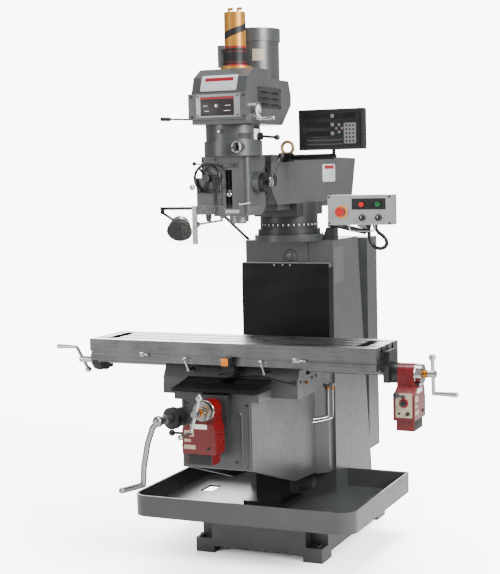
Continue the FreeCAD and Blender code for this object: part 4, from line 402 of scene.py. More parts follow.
NODE_FINISH: dict[str, Finish] = {
    "base_casting": GREY_ENAMEL, "levelling_bolts": BLACK_ENAMEL, "chip_pan": PAN_ENAMEL,
    "column_casting": GREY_ENAMEL, "way_cover_strip": BARE_STEEL, "electrical_cabinet": GREY_ENAMEL,
    "knee_screw_pedestal": BLACK_ENAMEL, "column_brackets": BLACK_ENAMEL, "knee_casting": GREY_ENAMEL,
    "knee_front_bearings": DARK_ENAMEL, "cross_feed_housing": RED_ENAMEL, "cross_feed_screw": POLISHED_ALLOY,
    "cross_feed_lever": BLACK_PLASTIC, "knee_crank": TURNED_STEEL, "elevating_screw": TURNED_STEEL,
    "saddle_casting": GREY_ENAMEL, "limit_switch": BLACK_PLASTIC, "table_lock_left": POLISHED_ALLOY,
    "table_lock_right": POLISHED_ALLOY, "work_table": GROUND_IRON, "table_end_brackets": BLACK_ENAMEL,
    "table_feed_housing": RED_ENAMEL, "table_screw": POLISHED_ALLOY, "table_feed_lever": BLACK_PLASTIC,
    "turret": DARK_ENAMEL, "ram_casting": GREY_ENAMEL, "lifting_ring": CAST_BRONZE,
    "readout_arm": BLACK_ENAMEL, "readout_display": READOUT_GREY, "panel_arm": BLACK_ENAMEL,
    "control_panel": BRUSHED_SHEET, "emergency_stop_button": RED_PLASTIC, "stop_button": RED_PLASTIC,
    "start_button": GREEN_PLASTIC, "spindle_selector": BLACK_PLASTIC, "coolant_selector": BLACK_PLASTIC,
    "head_adapter": BLACK_ENAMEL, "quill_housing": GREY_ENAMEL, "gear_housing": GREY_ENAMEL,
    "belt_housing": GREY_ENAMEL, "drive_motor": GREY_ENAMEL, "draw_bar_unit": GOLD_ANODISED,
    "quill": TURNED_STEEL, "spindle": TURNED_STEEL, "quill_feed_lever": BLACK_ENAMEL,
    "fine_feed_handwheel": BLACK_PLASTIC, "speed_handwheel": POLISHED_ALLOY, "brake_lever": BLACK_PLASTIC,
    "range_lever": BLACK_PLASTIC, "feed_selector": BLACK_PLASTIC, "quill_lock": POLISHED_ALLOY,
    "shield_bar": TURNED_STEEL, "splash_shield": CLEAR_SHEET, "lamp_lower_arm": MATT_BLACK,
    "lamp_upper_arm": MATT_BLACK, "lamp_head": MATT_BLACK,
}


class Paintshop:
    """Makes each finish once and dresses the frame's own nodes."""

    def __init__(self) -> None:
        """Start with no finish made."""
        self.made: dict[str, bpy.types.Material] = {}

    def coat(self, finish: Finish) -> bpy.types.Material:
        """Give a finish's material, made at its first use.

        Args:
            finish: the finish.

        Returns:
            Its material.
        """
        if finish.name not in self.made:
            self.made[finish.name] = finish.make()
        return self.made[finish.name]

    def dress_nodes(self) -> None:
        """Give every node of the frame that stays its own finish."""
        for name, finish in NODE_FINISH.items():
            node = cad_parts[name]
            material = self.coat(finish)
            if not node.material_slots:
                node.data.materials.append(material)
            for place in node.material_slots:
                place.material = material


SHOP = Paintshop()


# ---------------------------------------------------------------- mesh making


def upright(normal: Vector, up: Vector) -> Matrix:
    """The turn that takes +Z to a normal and +Y as near to up as it goes.

    Args:
        normal: the way a detail faces.
        up: its upward direction.

    Returns:
        The rotation as a 4 x 4 matrix.
    """
    out = normal.normalized()
    side = up.cross(out).normalized()
    return Matrix((side, out.cross(side), out)).transposed().to_4x4()


class Shape:
    """A mesh in the making, in millimetres, filled by Blender's mesh operators."""

    def __init__(self) -> None:
        """Start an empty mesh."""
        self.mesh = bmesh.new()

    def soften(self, edges: list, size: float, steps: int = 3) -> None:
        """Round edges off.

        Args:
            edges: the edges.
            size: the rounding in millimetres.
            steps: how many faces round each edge.
        """
        bmesh.ops.bevel(
            self.mesh, geom=edges, offset=size, offset_type="OFFSET", affect="EDGES",
            segments=steps, profile=0.5, material=-1,
        )

    def block(self, low: Point, high: Point, edge: float = 0.0, turn: Matrix | None = None) -> "Shape":
        """Add a box between two corners.

        Args:
            low: its lowest corner.
            high: its highest corner.
            edge: the rounding of its edges.
            turn: a placement after it is made, if any.

        Returns:
            The same shape.
        """
        size = Vector(high) - Vector(low)
        middle = (Vector(high) + Vector(low)) / 2
        before = set(self.mesh.verts)
        bmesh.ops.create_cube(self.mesh, size=1.0)
        fresh = [v for v in self.mesh.verts if v not in before]
        bmesh.ops.scale(self.mesh, vec=size, verts=fresh)
        bmesh.ops.translate(self.mesh, vec=middle, verts=fresh)
        if edge:
            edges = list({e for v in fresh for e in v.link_edges})
            self.soften(edges, edge)
        if turn is not None:
            fresh = [v for v in self.mesh.verts if v not in before]
            bmesh.ops.transform(self.mesh, matrix=turn, verts=fresh)
        return self

    def plate(
        self, centre: Point, normal: Vector, size: tuple[float, float], thick: float,
        corner: float = 0.0, edge: float = 0.0, up: Vector = Vector((0, 0, 1)),
    ) -> "Shape":
        """Add a flat plate with rounded corners, its back on a surface.

        Args:
            centre: the middle of its back face.
            normal: the way it faces.
            size: its width and height.
            thick: how far it stands out.
            corner: the radius of its corners.
            edge: the rounding of its front rim.
            up: its upward direction.

        Returns:
            The same shape.
        """
        before = set(self.mesh.verts)
        bmesh.ops.create_cube(self.mesh, size=1.0)
        fresh = [v for v in self.mesh.verts if v not in before]
        bmesh.ops.scale(self.mesh, vec=(size[0], size[1], thick), verts=fresh)
        bmesh.ops.translate(self.mesh, vec=(0, 0, thick / 2), verts=fresh)
        if corner:
            edges = {e for v in fresh for e in v.link_edges}
            sides = {e for e in edges if abs(e.verts[0].co.z - e.verts[1].co.z) > thick / 2}
            self.soften(list(sides), corner, 5)
        if edge:
            fresh = [v for v in self.mesh.verts if v not in before]
            rim = {
                e for v in fresh for e in v.link_edges
                if min(e.verts[0].co.z, e.verts[1].co.z) > thick - 1e-4 and len(e.link_faces) == 2
            }
            self.soften(list(rim), edge, 2)
        fresh = [v for v in self.mesh.verts if v not in before]
        bmesh.ops.transform(self.mesh, matrix=Matrix.Translation(centre) @ upright(normal, up), verts=fresh)
        return self

    def disc(
        self, base: Point, axis: Vector, radius: float, height: float,
        edge: float = 0.0, sides: int = 40, tip: float | None = None,
    ) -> "Shape":
        """Add a round, or a cone, that stands on its base.

        Args:
            base: the middle of its base.
            axis: the way it stands.
            radius: its radius at the base.
            height: how far it stands out.
            edge: the rounding of its rims.
            sides: how many sides it has.
            tip: its radius at the far end, if another.

        Returns:
            The same shape.
        """
        before = set(self.mesh.verts)
        bmesh.ops.create_cone(
            self.mesh, cap_ends=True, segments=sides, radius1=radius,
            radius2=radius if tip is None else tip, depth=height,
        )
        fresh = [v for v in self.mesh.verts if v not in before]
        if edge:
            rims = {e for v in fresh for e in v.link_edges if abs(e.verts[0].co.z - e.verts[1].co.z) < 1e-4}
            self.soften(list(rims), edge, 2)
            fresh = [v for v in self.mesh.verts if v not in before]
        bmesh.ops.translate(self.mesh, vec=(0, 0, height / 2), verts=fresh)
        turn = axis.to_track_quat("Z", "Y").to_matrix().to_4x4()
        bmesh.ops.transform(self.mesh, matrix=Matrix.Translation(base) @ turn, verts=fresh)
        return self

    def ball(self, centre: Point, radius: float, stretch: Point = (1, 1, 1)) -> "Shape":
        """Add a ball, stretched if need be.

        Args:
            centre: its middle.
            radius: its radius.
            stretch: its scale on each axis.

        Returns:
            The same shape.
        """
        before = set(self.mesh.verts)
        bmesh.ops.create_uvsphere(self.mesh, u_segments=24, v_segments=14, radius=radius)
        fresh = [v for v in self.mesh.verts if v not in before]
        bmesh.ops.scale(self.mesh, vec=stretch, verts=fresh)
        bmesh.ops.translate(self.mesh, vec=centre, verts=fresh)
        return self

    def lathe(
        self, centre: Point, axis: Vector, outline: list[tuple[float, float]],
        sweep: float = 360.0, steps: int = 56, start: Vector | None = None,
    ) -> "Shape":
        """Turn a closed outline round an axis.

        Args:
            centre: a point on the axis, from which heights are measured.
            axis: the axis.
            outline: radius and height of each corner, in order.
            sweep: the angle it is turned through, in degrees.
            steps: how many steps make the sweep.
            start: the direction of the first section, across the axis.

        Returns:
            The same shape.
        """
        way = axis.normalized()
        away = way.orthogonal().normalized() if start is None else start.normalized()
        middle = Vector(centre)
        corners = [self.mesh.verts.new(middle + away * r + way * h) for r, h in outline]
        face = self.mesh.faces.new(corners)
        whole = sweep >= 360.0
        bmesh.ops.spin(
            self.mesh, geom=[face] + list(face.edges) + corners, cent=middle, axis=way,
            angle=math.radians(sweep), steps=steps, use_merge=whole,
        )
        if whole and face.is_valid:
            bmesh.ops.delete(self.mesh, geom=[face], context="FACES_ONLY")
        bmesh.ops.remove_doubles(self.mesh, verts=list(self.mesh.verts), dist=0.001)
        return self

    def finish(
        self, name: str, body: str, finish: Finish, slot: str, sharp: float = 35.0,
        place: Matrix | None = None,
    ) -> bpy.types.Object:
        """Turn the mesh into a piece in the frame that rides on a body.

        Args:
            name: the piece's name.
            body: the body that it rides on.
            finish: what it is finished in.
            slot: the record's material slot that stands for it; not used.
            sharp: edges turned more than this many degrees stay sharp.
            place: a placement of the whole mesh, in millimetres, if any.

        Returns:
            The piece.
        """
        if place is not None:
            bmesh.ops.transform(self.mesh, matrix=place, verts=list(self.mesh.verts))
        bmesh.ops.scale(self.mesh, vec=(MM, MM, MM), verts=list(self.mesh.verts))
        bmesh.ops.recalc_face_normals(self.mesh, faces=list(self.mesh.faces))
        data = bpy.data.meshes.new(name)
        self.mesh.to_mesh(data)
        self.mesh.free()
        return settle(name, data, body, finish, sharp)


def settle(
    name: str, data: bpy.types.Mesh, body: str, finish: Finish, sharp: float = 35.0
) -> bpy.types.Object:
    """Make an object of a mesh that is in place, dress it and let it ride.

    Args:
        name: the piece's name.
        data: its mesh in metres.
        body: the body that it rides on.
        finish: what it is finished in.
        sharp: edges turned more than this many degrees stay sharp.

    Returns:
        The piece.
    """
    piece = bpy.data.objects.new(name, data)
    bpy.context.scene.collection.objects.link(piece)
    data.materials.clear()
    data.materials.append(SHOP.coat(finish))
    data.shade_smooth()
    data.set_sharp_from_angle(angle=math.radians(sharp))
    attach(piece, body)
    LOG.info("%s: %d faces on %s", name, len(data.polygons), body)
    return piece


def line(name: str, points: list[Point], radius: float) -> bpy.types.Object:
    """Make a round line along points as a smooth curve, in metres.

    Args:
        name: the curve's name.
        points: its control points in millimetres.
        radius: its radius in millimetres.

    Returns:
        The curve's object, linked to the scene.
    """
    data = bpy.data.curves.new(name, "CURVE")
    data.dimensions = "3D"
    data.bevel_depth = radius * MM
    data.bevel_resolution = 6
    data.resolution_u = 12
    data.use_fill_caps = True
    spline = data.splines.new("NURBS")
    spline.points.add(len(points) - 1)
    for knot, point in zip(spline.points, points):
        knot.co = (*(Vector(point) * MM), 1.0)
    spline.order_u = 3
    spline.use_endpoint_u = True
    curve = bpy.data.objects.new(name, data)
    bpy.context.scene.collection.objects.link(curve)
    return curve


def pipe(
    name: str, points: list[Point], radius: float, body: str, finish: Finish
) -> bpy.types.Object:
    """Make a bent pipe or a raised bead as a mesh piece.

    Args:
        name: the piece's name.
        points: its control points in millimetres.
        radius: its radius in millimetres.
        body: the body that it rides on.
        finish: what it is finished in.

    Returns:
        The piece.
    """
    curve = line(name + "_line", points, radius)
    data = bpy.data.meshes.new_from_object(curve)
    spent = curve.data
    bpy.data.objects.remove(curve)
    bpy.data.curves.remove(spent)
    data.name = name
    return settle(name, data, body, finish, 60.0)


class Skin:
    """The outside of one of the frame's nodes, found by looking at it along a ray."""

    def __init__(self, node: str) -> None:
        """Take a node's mesh.

        Args:
            node: the node's name.
        """
        mesh = bmesh.new()
        mesh.from_mesh(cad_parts[node].data)
        self.tree = BVHTree.FromBMesh(mesh)
        mesh.free()

    def meet(self, start: Point, way: Vector) -> Vector:
        """The first point that a ray meets, or its start where it meets none.

        Args:
            start: the ray's start in millimetres.
            way: its direction.

        Returns:
            The point in millimetres.
        """
        spot = self.tree.ray_cast(Vector(start) * MM, way.normalized())[0]
        return Vector(start) if spot is None else spot / MM

    def label(
        self, name: str, centre: Point, facing: Vector, size: tuple[float, float],
        body: str, finish: Finish, slot: str, proud: float = 0.8, corner: float = 0.0,
    ) -> bpy.types.Object:
        """Lay a thin plate on the surface, so that it follows its curve.

        Args:
            name: the piece's name.
            centre: a point in front of the plate's middle, in millimetres.
            facing: the way that the plate faces.
            size: its width and height.
            body: the body that it rides on.
            finish: what it is finished in.
            slot: the record's material slot that stands for it.
            proud: how far it stands out.
            corner: the radius of its corners.

        Returns:
            The piece.
        """
        shape = Shape()
        mesh = shape.mesh
        bmesh.ops.create_cube(mesh, size=1.0)
        bmesh.ops.scale(mesh, vec=(size[0], size[1], proud), verts=list(mesh.verts))
        if corner:
            sides = [e for e in mesh.edges if abs(e.verts[0].co.z - e.verts[1].co.z) > proud / 2]
            shape.soften(sides, corner, 5)
        for axis, length in ((Vector((1, 0, 0)), size[0]), (Vector((0, 1, 0)), size[1])):
            cuts = max(2, int(length / 8))
            for at in range(1, cuts):
                bmesh.ops.bisect_plane(
                    mesh, geom=list(mesh.verts) + list(mesh.edges) + list(mesh.faces), dist=1e-4,
                    plane_co=axis * (length * (at / cuts - 0.5)), plane_no=axis,
                )
        turn = upright(facing, Vector((0, 0, 1)))
        out = facing.normalized()
        for vert in mesh.verts:
            lift = vert.co.z + proud / 2
            flat = Matrix.Translation(centre) @ turn @ Vector((vert.co.x, vert.co.y, 0))
            vert.co = self.meet(flat, -out) + out * (lift + 0.15)
        return shape.finish(name, body, finish, slot, 50.0)


# ---------------------------------------------------------------- camera, light and floor


@dataclass
class Studio:
    """The camera, the soft lights, the pale floor and the white surround."""

    eye: Point = (2389.0, -5879.9, 1785.3)
    azimuth: float = 23.885
    pitch: float = 5.079
    roll: float = -1.277
    lens: float = 81.86
    lights: list[tuple[str, Point, float, float]] = field(
        default_factory=lambda: [
            ("key_light", (5400.0, -2600.0, 3600.0), 2600.0, 620.0),
            ("front_fill", (-3600.0, -5600.0, 2400.0), 2600.0, 110.0),
            ("top_light", (600.0, -300.0, 5600.0), 2800.0, 300.0),
            ("back_light", (-2200.0, 4200.0, 2700.0), 3200.0, 260.0),
        ]
    )
    target: Point = (0.0, -400.0, 1150.0)
    soft_glow: float = 0.5
    burnt_out: float = 9.0
    floor_half: float = 4000.0

    def camera(self) -> None:
        """Stand the camera and make it the scene's."""
        turn, tip, lean = (math.radians(a) for a in (self.azimuth, self.pitch, self.roll))
        back = Vector((math.sin(turn) * math.cos(tip), -math.cos(turn) * math.cos(tip), math.sin(tip)))
        side = Vector((math.cos(turn), math.sin(turn), 0.0))
        up = back.cross(side)
        right = side * math.cos(lean) + up * math.sin(lean)
        top = up * math.cos(lean) - side * math.sin(lean)
        data = bpy.data.cameras.new("camera")
        data.lens = self.lens
        data.sensor_width = 36.0
        data.clip_end = 100.0
        camera = bpy.data.objects.new("camera", data)
        bpy.context.scene.collection.objects.link(camera)
        stance = Matrix((right, top, back)).transposed().to_4x4()
        camera.matrix_world = Matrix.Translation(Vector(self.eye) * MM) @ stance
        bpy.context.scene.camera = camera

    def light(self) -> None:
        """Hang the area lights and whiten the surround."""
        for name, at, size, power in self.lights:
            data = bpy.data.lights.new(name, "AREA")
            data.size = size * MM
            data.energy = power
            lamp = bpy.data.objects.new(name, data)
            lamp.visible_camera = False
            bpy.context.scene.collection.objects.link(lamp)
            aim = (Vector(self.target) - Vector(at)).to_track_quat("-Z", "Y")
            lamp.matrix_world = Matrix.Translation(Vector(at) * MM) @ aim.to_matrix().to_4x4()
        self.surround()

    def surround(self) -> None:
        """Make the surround burn out to white in the picture while it lights the machine only softly."""
        world = bpy.data.worlds.new("white_surround")
        world.use_nodes = True
        sky = world.node_tree
        backdrop = sky.nodes["Background"]
        backdrop.inputs["Color"].default_value = linear("#ffffff")
        ray = sky.nodes.new("ShaderNodeLightPath")
        strength = sky.nodes.new("ShaderNodeMapRange")
        strength.inputs["To Min"].default_value = self.soft_glow
        strength.inputs["To Max"].default_value = self.burnt_out
        sky.links.new(ray.outputs["Is Camera Ray"], strength.inputs["Value"])
        sky.links.new(strength.outputs["Result"], backdrop.inputs["Strength"])
        bpy.context.scene.world = world

    def floor(self) -> None:
        """Lay the pale floor."""
        mesh = bmesh.new()
        bmesh.ops.create_grid(mesh, x_segments=1, y_segments=1, size=self.floor_half * MM)
        bmesh.ops.translate(mesh, vec=(0, 0, -0.0005), verts=list(mesh.verts))
        data = bpy.data.meshes.new("floor")
        mesh.to_mesh(data)
        mesh.free()
        data.materials.append(SHOP.coat(FLOOR_PAINT))
        floor = bpy.data.objects.new("floor", data)
        floor.is_shadow_catcher = True
        bpy.context.scene.collection.objects.link(floor)

    def build(self) -> None:
        """Set up the whole studio."""
        self.camera()
        self.light()
        self.floor()


# ---------------------------------------------------------------- cords


@dataclass
class Leads:
    """The panel's conduit and the limit switch's lead, with what holds their ends."""

    conduit_radius: float = 8.0
    conduit_length: float = 0.277
    conduit_route: tuple[Point, ...] = (
        (594, -466, 1541), (594, -466, 1515), (638, -460, 1485), (646, -458, 1454), (622, -456, 1434),
        (586, -455, 1440), (565, -457, 1471), (562, -460, 1509), (562, -460, 1541),
    )
    lead_radius: float = 4.0
    lead_length: float = 0.245
    lead_route: tuple[Point, ...] = (
        (58, -743, 896.7), (84, -743, 896.7), (120, -742, 898.7), (162, -742, 895.7),
        (206, -743, 889.7), (250, -744, 878.7), (280, -743, 873.7), (300, -743, 873.7),
    )

    def cord(self, name: str, route: tuple[Point, ...], radius: float, body: str) -> bpy.types.Object:
        """Make one cord as a smooth curve.

        Args:
            name: the cord's name.
            route: its control points in millimetres.
            radius: its radius.
            body: the body that it rides on.

        Returns:
            The curve.
        """
        curve = line(name, list(route), radius)
        curve.data.materials.append(SHOP.coat(SLEEVE))
        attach(curve, body)
        LOG.info("%s: %d points on %s", name, len(route), body)
        return curve

    def build(self) -> None:
        """Make both cords and their ends."""
        glands = Shape()
        for x, y in ((594, -466), (562, -460)):
            glands.disc((x, y, 1541.5), Vector((0, 0, -1)), 12.5, 8, 1.0, 6)
            glands.disc((x, y, 1534), Vector((0, 0, -1)), 11, 12, 1.5, 24, 9.2)
        held = glands.finish("conduit_glands", "panel", BLACK_PLASTIC, "black_plastic")
        conduit = self.cord("panel_conduit_sleeve", self.conduit_route, self.conduit_radius, "panel")
        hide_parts("panel_conduit")
        ends = Shape()
        ends.disc((30, -743, 896.7), Vector((1, 0, 0)), 7, 10, 0.8, 6)
        ends.disc((40, -743, 896.7), Vector((1, 0, 0)), 6.2, 20, 0.6, 24, 4.6)
        gland = ends.finish("switch_lead_gland", "saddle", BLACK_PLASTIC, "cable_rubber")
        clip = Shape().block((300, -751, 862.3), (314, -735.2, 884.3), 1.6)
        clip.disc((307, -751, 873.5), Facing.FRONT.normal, 4, 2.2, 0.6, 20)
        foot = clip.finish("switch_lead_clip", "saddle", BLACK_PLASTIC, "cable_rubber")
        lead = self.cord("switch_lead", self.lead_route, self.lead_radius, "saddle")
        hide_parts("limit_switch_cable")


# ---------------------------------------------------------------- rubber covers


def rubber_sheet(name: str, mesh: bmesh.types.BMesh, thick: float, finish: Finish) -> bpy.types.Object:
    """Turn an open mesh into a rubber sheet with a thickness.

    Args:
        name: the sheet's name.
        mesh: its middle face in millimetres, which is used up.
        thick: its thickness in millimetres.
        finish: what it is finished in.

    Returns:
        The sheet, dressed and linked to the scene.
    """
    bmesh.ops.scale(mesh, vec=(MM, MM, MM), verts=list(mesh.verts))
    bmesh.ops.recalc_face_normals(mesh, faces=list(mesh.faces))
    bmesh.ops.solidify(mesh, geom=list(mesh.faces), thickness=thick * MM)
    data = bpy.data.meshes.new(name)
    mesh.to_mesh(data)
    mesh.free()
    sheet = bpy.data.objects.new(name, data)
    bpy.context.scene.collection.objects.link(sheet)
    data.materials.append(SHOP.coat(finish))
    data.shade_smooth()
    data.set_sharp_from_angle(angle=math.radians(50))
    return sheet


@dataclass
class WayCurtain:
    """The rubber curtain that hides the column's ways, from the clamp strip down to the knee."""

    half: float = 226.0
    top: float = 1338.0
    low: float = 843.0
    back: float = -64.0
    thick: float = 3.0
    strip_low: float = 1318.0

    def build(self) -> None:
        """Hang the sheet, wrinkle it and blend it from the column to the knee."""
        mesh = bmesh.new()
        bmesh.ops.create_grid(mesh, x_segments=64, y_segments=84, size=0.5)
        high, wide = self.top - self.low, 2 * self.half
        for vert in mesh.verts:
            across, down = vert.co.x, 0.5 - vert.co.y
            drop = down * high
            free = min(1.0, max(0.0, (drop - 14) / 60))
            belly = 3.0 * math.sin(math.pi * down) * free
            wave = 1.5 * math.sin(9 * across + 2.2 * down) * math.exp(-2.2 * down) * free
            crease = 1.2 * math.sin(24 * down + 5 * across) * math.exp(-5.5 * down) * free
            pucker = 0.8 * math.sin(2 * math.pi * 7 * across) * math.exp(-drop / 40) * free
            vert.co = (across * wide, self.back - 2.6 - belly - wave - crease - pucker, self.top - drop)
        sheet = rubber_sheet("column_curtain_sheet", mesh, self.thick, WAY_RUBBER)
        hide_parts("column_curtain")
        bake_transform(sheet)
        LOG.info("column_curtain_sheet: %d faces", len(sheet.data.polygons))


@dataclass
class KneeApron:
    """The ribbed rubber apron from the saddle's front to the knee's front edge, and its thick lip."""

    half: float = 199.0
    thick: float = 4.0
    profile: tuple[tuple[float, float], ...] = (
        (-737.5, 884.5), (-744, 877), (-751, 881.5), (-758, 874), (-765, 878.5), (-773, 871.5),
        (-781, 875.0),
        (-791, 868.5), (-802, 870.5), (-816, 866.0), (-834, 864.0), (-852, 861.5), (-870, 859.0),
        (-886, 857.0), (-897, 855.5),
    )

    def build(self) -> None:
        """Draw the profile across the knee, round its folds and blend it to the saddle."""
        mesh = bmesh.new()
        row = [mesh.verts.new((-self.half, y, z)) for y, z in self.profile]
        edges = [mesh.edges.new(pair) for pair in zip(row, row[1:])]
        for _ in range(14):
            drawn = bmesh.ops.extrude_edge_only(mesh, edges=edges)["geom"]
            edges = [g for g in drawn if isinstance(g, bmesh.types.BMEdge)]
            fresh = [g for g in drawn if isinstance(g, bmesh.types.BMVert)]
            bmesh.ops.translate(mesh, vec=(2 * self.half / 14, 0, 0), verts=fresh)
            edges = [e for e in edges if all(v in fresh for v in e.verts)]
        bmesh.ops.subdivide_edges(
            mesh, edges=[e for e in mesh.edges if abs(e.verts[0].co.x - e.verts[1].co.x) < 1e-3],
            cuts=2, smooth=1.0, use_grid_fill=True,
        )
        apron = rubber_sheet("knee_apron_sheet", mesh, self.thick, APRON_RUBBER)
        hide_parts("front_way_cover")
        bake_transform(apron)
        lip = Shape().block((-200, -903.5, 842), (200, -894.5, 858), 3.6)
        lip.block((-199, -896, 842.5), (199, -862, 848), 2.0)
        held = lip.finish("knee_apron_lip", "knee", APRON_RUBBER, "rubber_sheet")
        LOG.info("knee_apron_sheet: %d faces", len(apron.data.polygons))


# ---------------------------------------------------------------- base, pan and column


@dataclass
class PanTrim:
    """The row of weld dimples along the pan's floor."""

    left: float = -540.0
    right: float = 540.0
    front: float = -677.0
    back: float = 154.0
    deck: float = 215.2
    top: float = 304.0

    def build(self) -> None:
        """Press the weld dimples into sight along the pan's floor."""
        dots = Shape()
        places = [(x, self.front + 58) for x in range(-440, 441, 88)]
        places += [(side, y) for side in (self.left + 60, self.right - 60) for y in range(-540, 120, 82)]
        for x, y in places:
            dots.disc((x, y, self.deck - 0.4), Facing.UP.normal, 4.2, 1.6, 0.7, 14, 2.6)
        dots.finish("pan_weld_dimples", "root", PAN_ENAMEL, "pan_enamel")


@dataclass
class ColumnTrim:
    """What is fixed to the column: the ring, the strip's screws and a plain plate."""

    ring_centre: Point = (12.0, -17.0, 1366.0)
    ring_radius: float = 36.0
    screws: tuple[float, ...] = (-205.0, -62.0, 82.0, 212.0)

    def build(self) -> None:
        """Make the column's small pieces."""
        front = Facing.FRONT.normal
        skin = Skin("column_casting")
        at = skin.meet((self.ring_centre[0], -200, self.ring_centre[2]), Vector((0, 1, 0)))
        ring = Shape()
        outer = self.ring_radius
        ring.lathe(tuple(at), front, [(outer - 4, -1), (outer - 3, 2), (outer, 2.4), (outer + 1.5, -1)])
        ring.finish("column_ring", "root", DARK_ENAMEL, "grey_enamel")
        dome = Shape().disc(tuple(at + Vector((0, 1, 0))), front, outer - 12, 3.4, 1.2, 48, outer - 15)
        dome.finish("column_boss", "root", GREY_ENAMEL, "grey_enamel")
        strip = Skin("way_cover_strip")
        heads = Shape()
        for x in self.screws:
            spot = strip.meet((x, -200, 1330), Vector((0, 1, 0)))
            heads.disc(tuple(spot), front, 6.5, 3.4, 1.0, 24)
        heads.finish("strip_screws", "root", BLACK_ENAMEL, "black_oxide")
        plate = Shape().plate((228.0, 66.0, 1324.0), Facing.RIGHT.normal, (140, 176), 0.9, 4, 0.3)
        plate.finish("column_plain_plate", "root", DARK_PRINT, "grey_enamel")


# ---------------------------------------------------------------- knee, saddle and table


@dataclass
class KneeTrim:
    """The knee's raised beads, its oil pipes and their brass ends."""

    front: float = -870.0
    bead: float = 4.2

    def beads(self) -> None:
        """Run the raised beads round the panels of the knee's front."""
        y = self.front - 0.5
        for side, name in ((1, "right"), (-1, "left")):
            path = [
                (56 * side, y, 764), (92 * side, y, 764), (110 * side, y, 760), (119 * side, y, 742),
                (119 * side, y, 700), (119 * side, y, 560), (120 * side, y, 530), (124 * side, y, 519),
                (137 * side, y, 513), (149 * side, y, 519), (154 * side, y, 532), (155 * side, y, 560),
                (155 * side, y, 700), (155 * side, y, 802),
            ]
            pipe(f"knee_bead_{name}", path, self.bead, "knee", GREY_ENAMEL)

    def oil_pipes(self) -> None:
        """Bend the two oil pipes at the knee's right rear and screw on their brass ends."""
        first = [
            (219, -84, 742), (219, -84, 700), (219, -84, 640), (219, -84, 618), (217, -88, 604),
            (204, -100, 601), (184, -122, 599), (160, -146, 598),
        ]
        second = [
            (236, -66, 738), (236, -66, 700), (236, -66, 634), (235, -68, 608), (231, -74, 594),
            (214, -96, 591), (188, -126, 586), (158, -158, 584),
        ]
        pipe("oil_pipe_inner", first, 3.6, "knee", POLISHED_ALLOY)
        pipe("oil_pipe_outer", second, 3.6, "knee", POLISHED_ALLOY)
        ends = Shape()
        for x, y, z in ((219, -84, 738), (236, -66, 734)):
            ends.disc((x, y, z), Facing.UP.normal, 7.5, 9, 0.8, 6)
            ends.disc((x, y, z + 9), Facing.UP.normal, 5.5, 9, 0.8, 20)
        ends.finish("oil_pipe_ends", "knee", BRASS, "bronze")
        block = Shape().block((205, -96, 752), (246, -56, 766), 2.0)
        block.block((196, -76, 752), (216, -40, 766), 2.0)
        block.finish("oil_manifold", "knee", GREY_ENAMEL, "grey_enamel")

    def build(self) -> None:
        """Make the knee's pieces."""
        self.beads()
        self.oil_pipes()
        screws = Shape()
        for x, z in ((-92, 540), (92, 540), (142, 790), (-142, 790)):
            screws.disc((x, self.front, z), Facing.FRONT.normal, 6, 2.4, 0.7, 20)
        screws.finish("knee_cover_screws", "knee", BLACK_ENAMEL, "black_oxide")


@dataclass
class SaddleTrim:
    """The switch's yellow cap, the saddle's oil fitting and its gib screws."""

    def build(self) -> None:
        """Make the saddle's pieces."""
        cap = Shape().plate((10.5, -800.6, 961.5), Facing.FRONT.normal, (32, 33), 5.5, 3.0, 1.4)
        cap.finish("limit_switch_cap", "saddle", YELLOW_PLASTIC, "yellow_plastic")
        brass = Shape().disc((323, -635, 862), Facing.RIGHT.normal, 6, 7, 0.8, 6)
        brass.disc((330, -635, 862), Facing.RIGHT.normal, 4, 6, 0.8, 18)
        brass.finish("saddle_oil_fitting", "saddle", BRASS, "bronze")
        gibs = Shape()
        for y in (-700, -560, -510):
            gibs.disc((323.6, y, 872), Facing.RIGHT.normal, 7, 3, 0.8, 20)
        gibs.finish("saddle_gib_screws", "saddle", BLACK_ENAMEL, "black_oxide")


@dataclass
class TableTrim:
    """The trip dogs in the table's front groove."""

    groove: float = 975.5
    face: float = -760.0
    proud: float = 1.2

    def dog(self, name: str, x: float, wide: float) -> None:
        """Make one trip dog with its clamp screw.

        Args:
            name: the piece's name.
            x: its place along the table.
            wide: its width.
        """
        front, low, high = self.face - self.proud, self.groove - 9, self.groove + 9
        dog = Shape().block((x - wide / 2, front, low), (x, self.face + 4, high), 0.5)
        dog.disc((x - 2, front + 6.5, self.groove), Facing.RIGHT.normal, 6.5, wide / 2, 1.0, 24)
        head = (x - wide / 4, self.face + 1, self.groove)
        dog.disc(head, Facing.FRONT.normal, 5.2, self.proud + 1.2, 0.2, 6)
        dog.finish(name, "table", POLISHED_ALLOY, "polished_steel")

    def build(self) -> None:
        """Fit both dogs."""
        self.dog("trip_dog_left", -406, 44)
        self.dog("trip_dog_right", 345, 62)


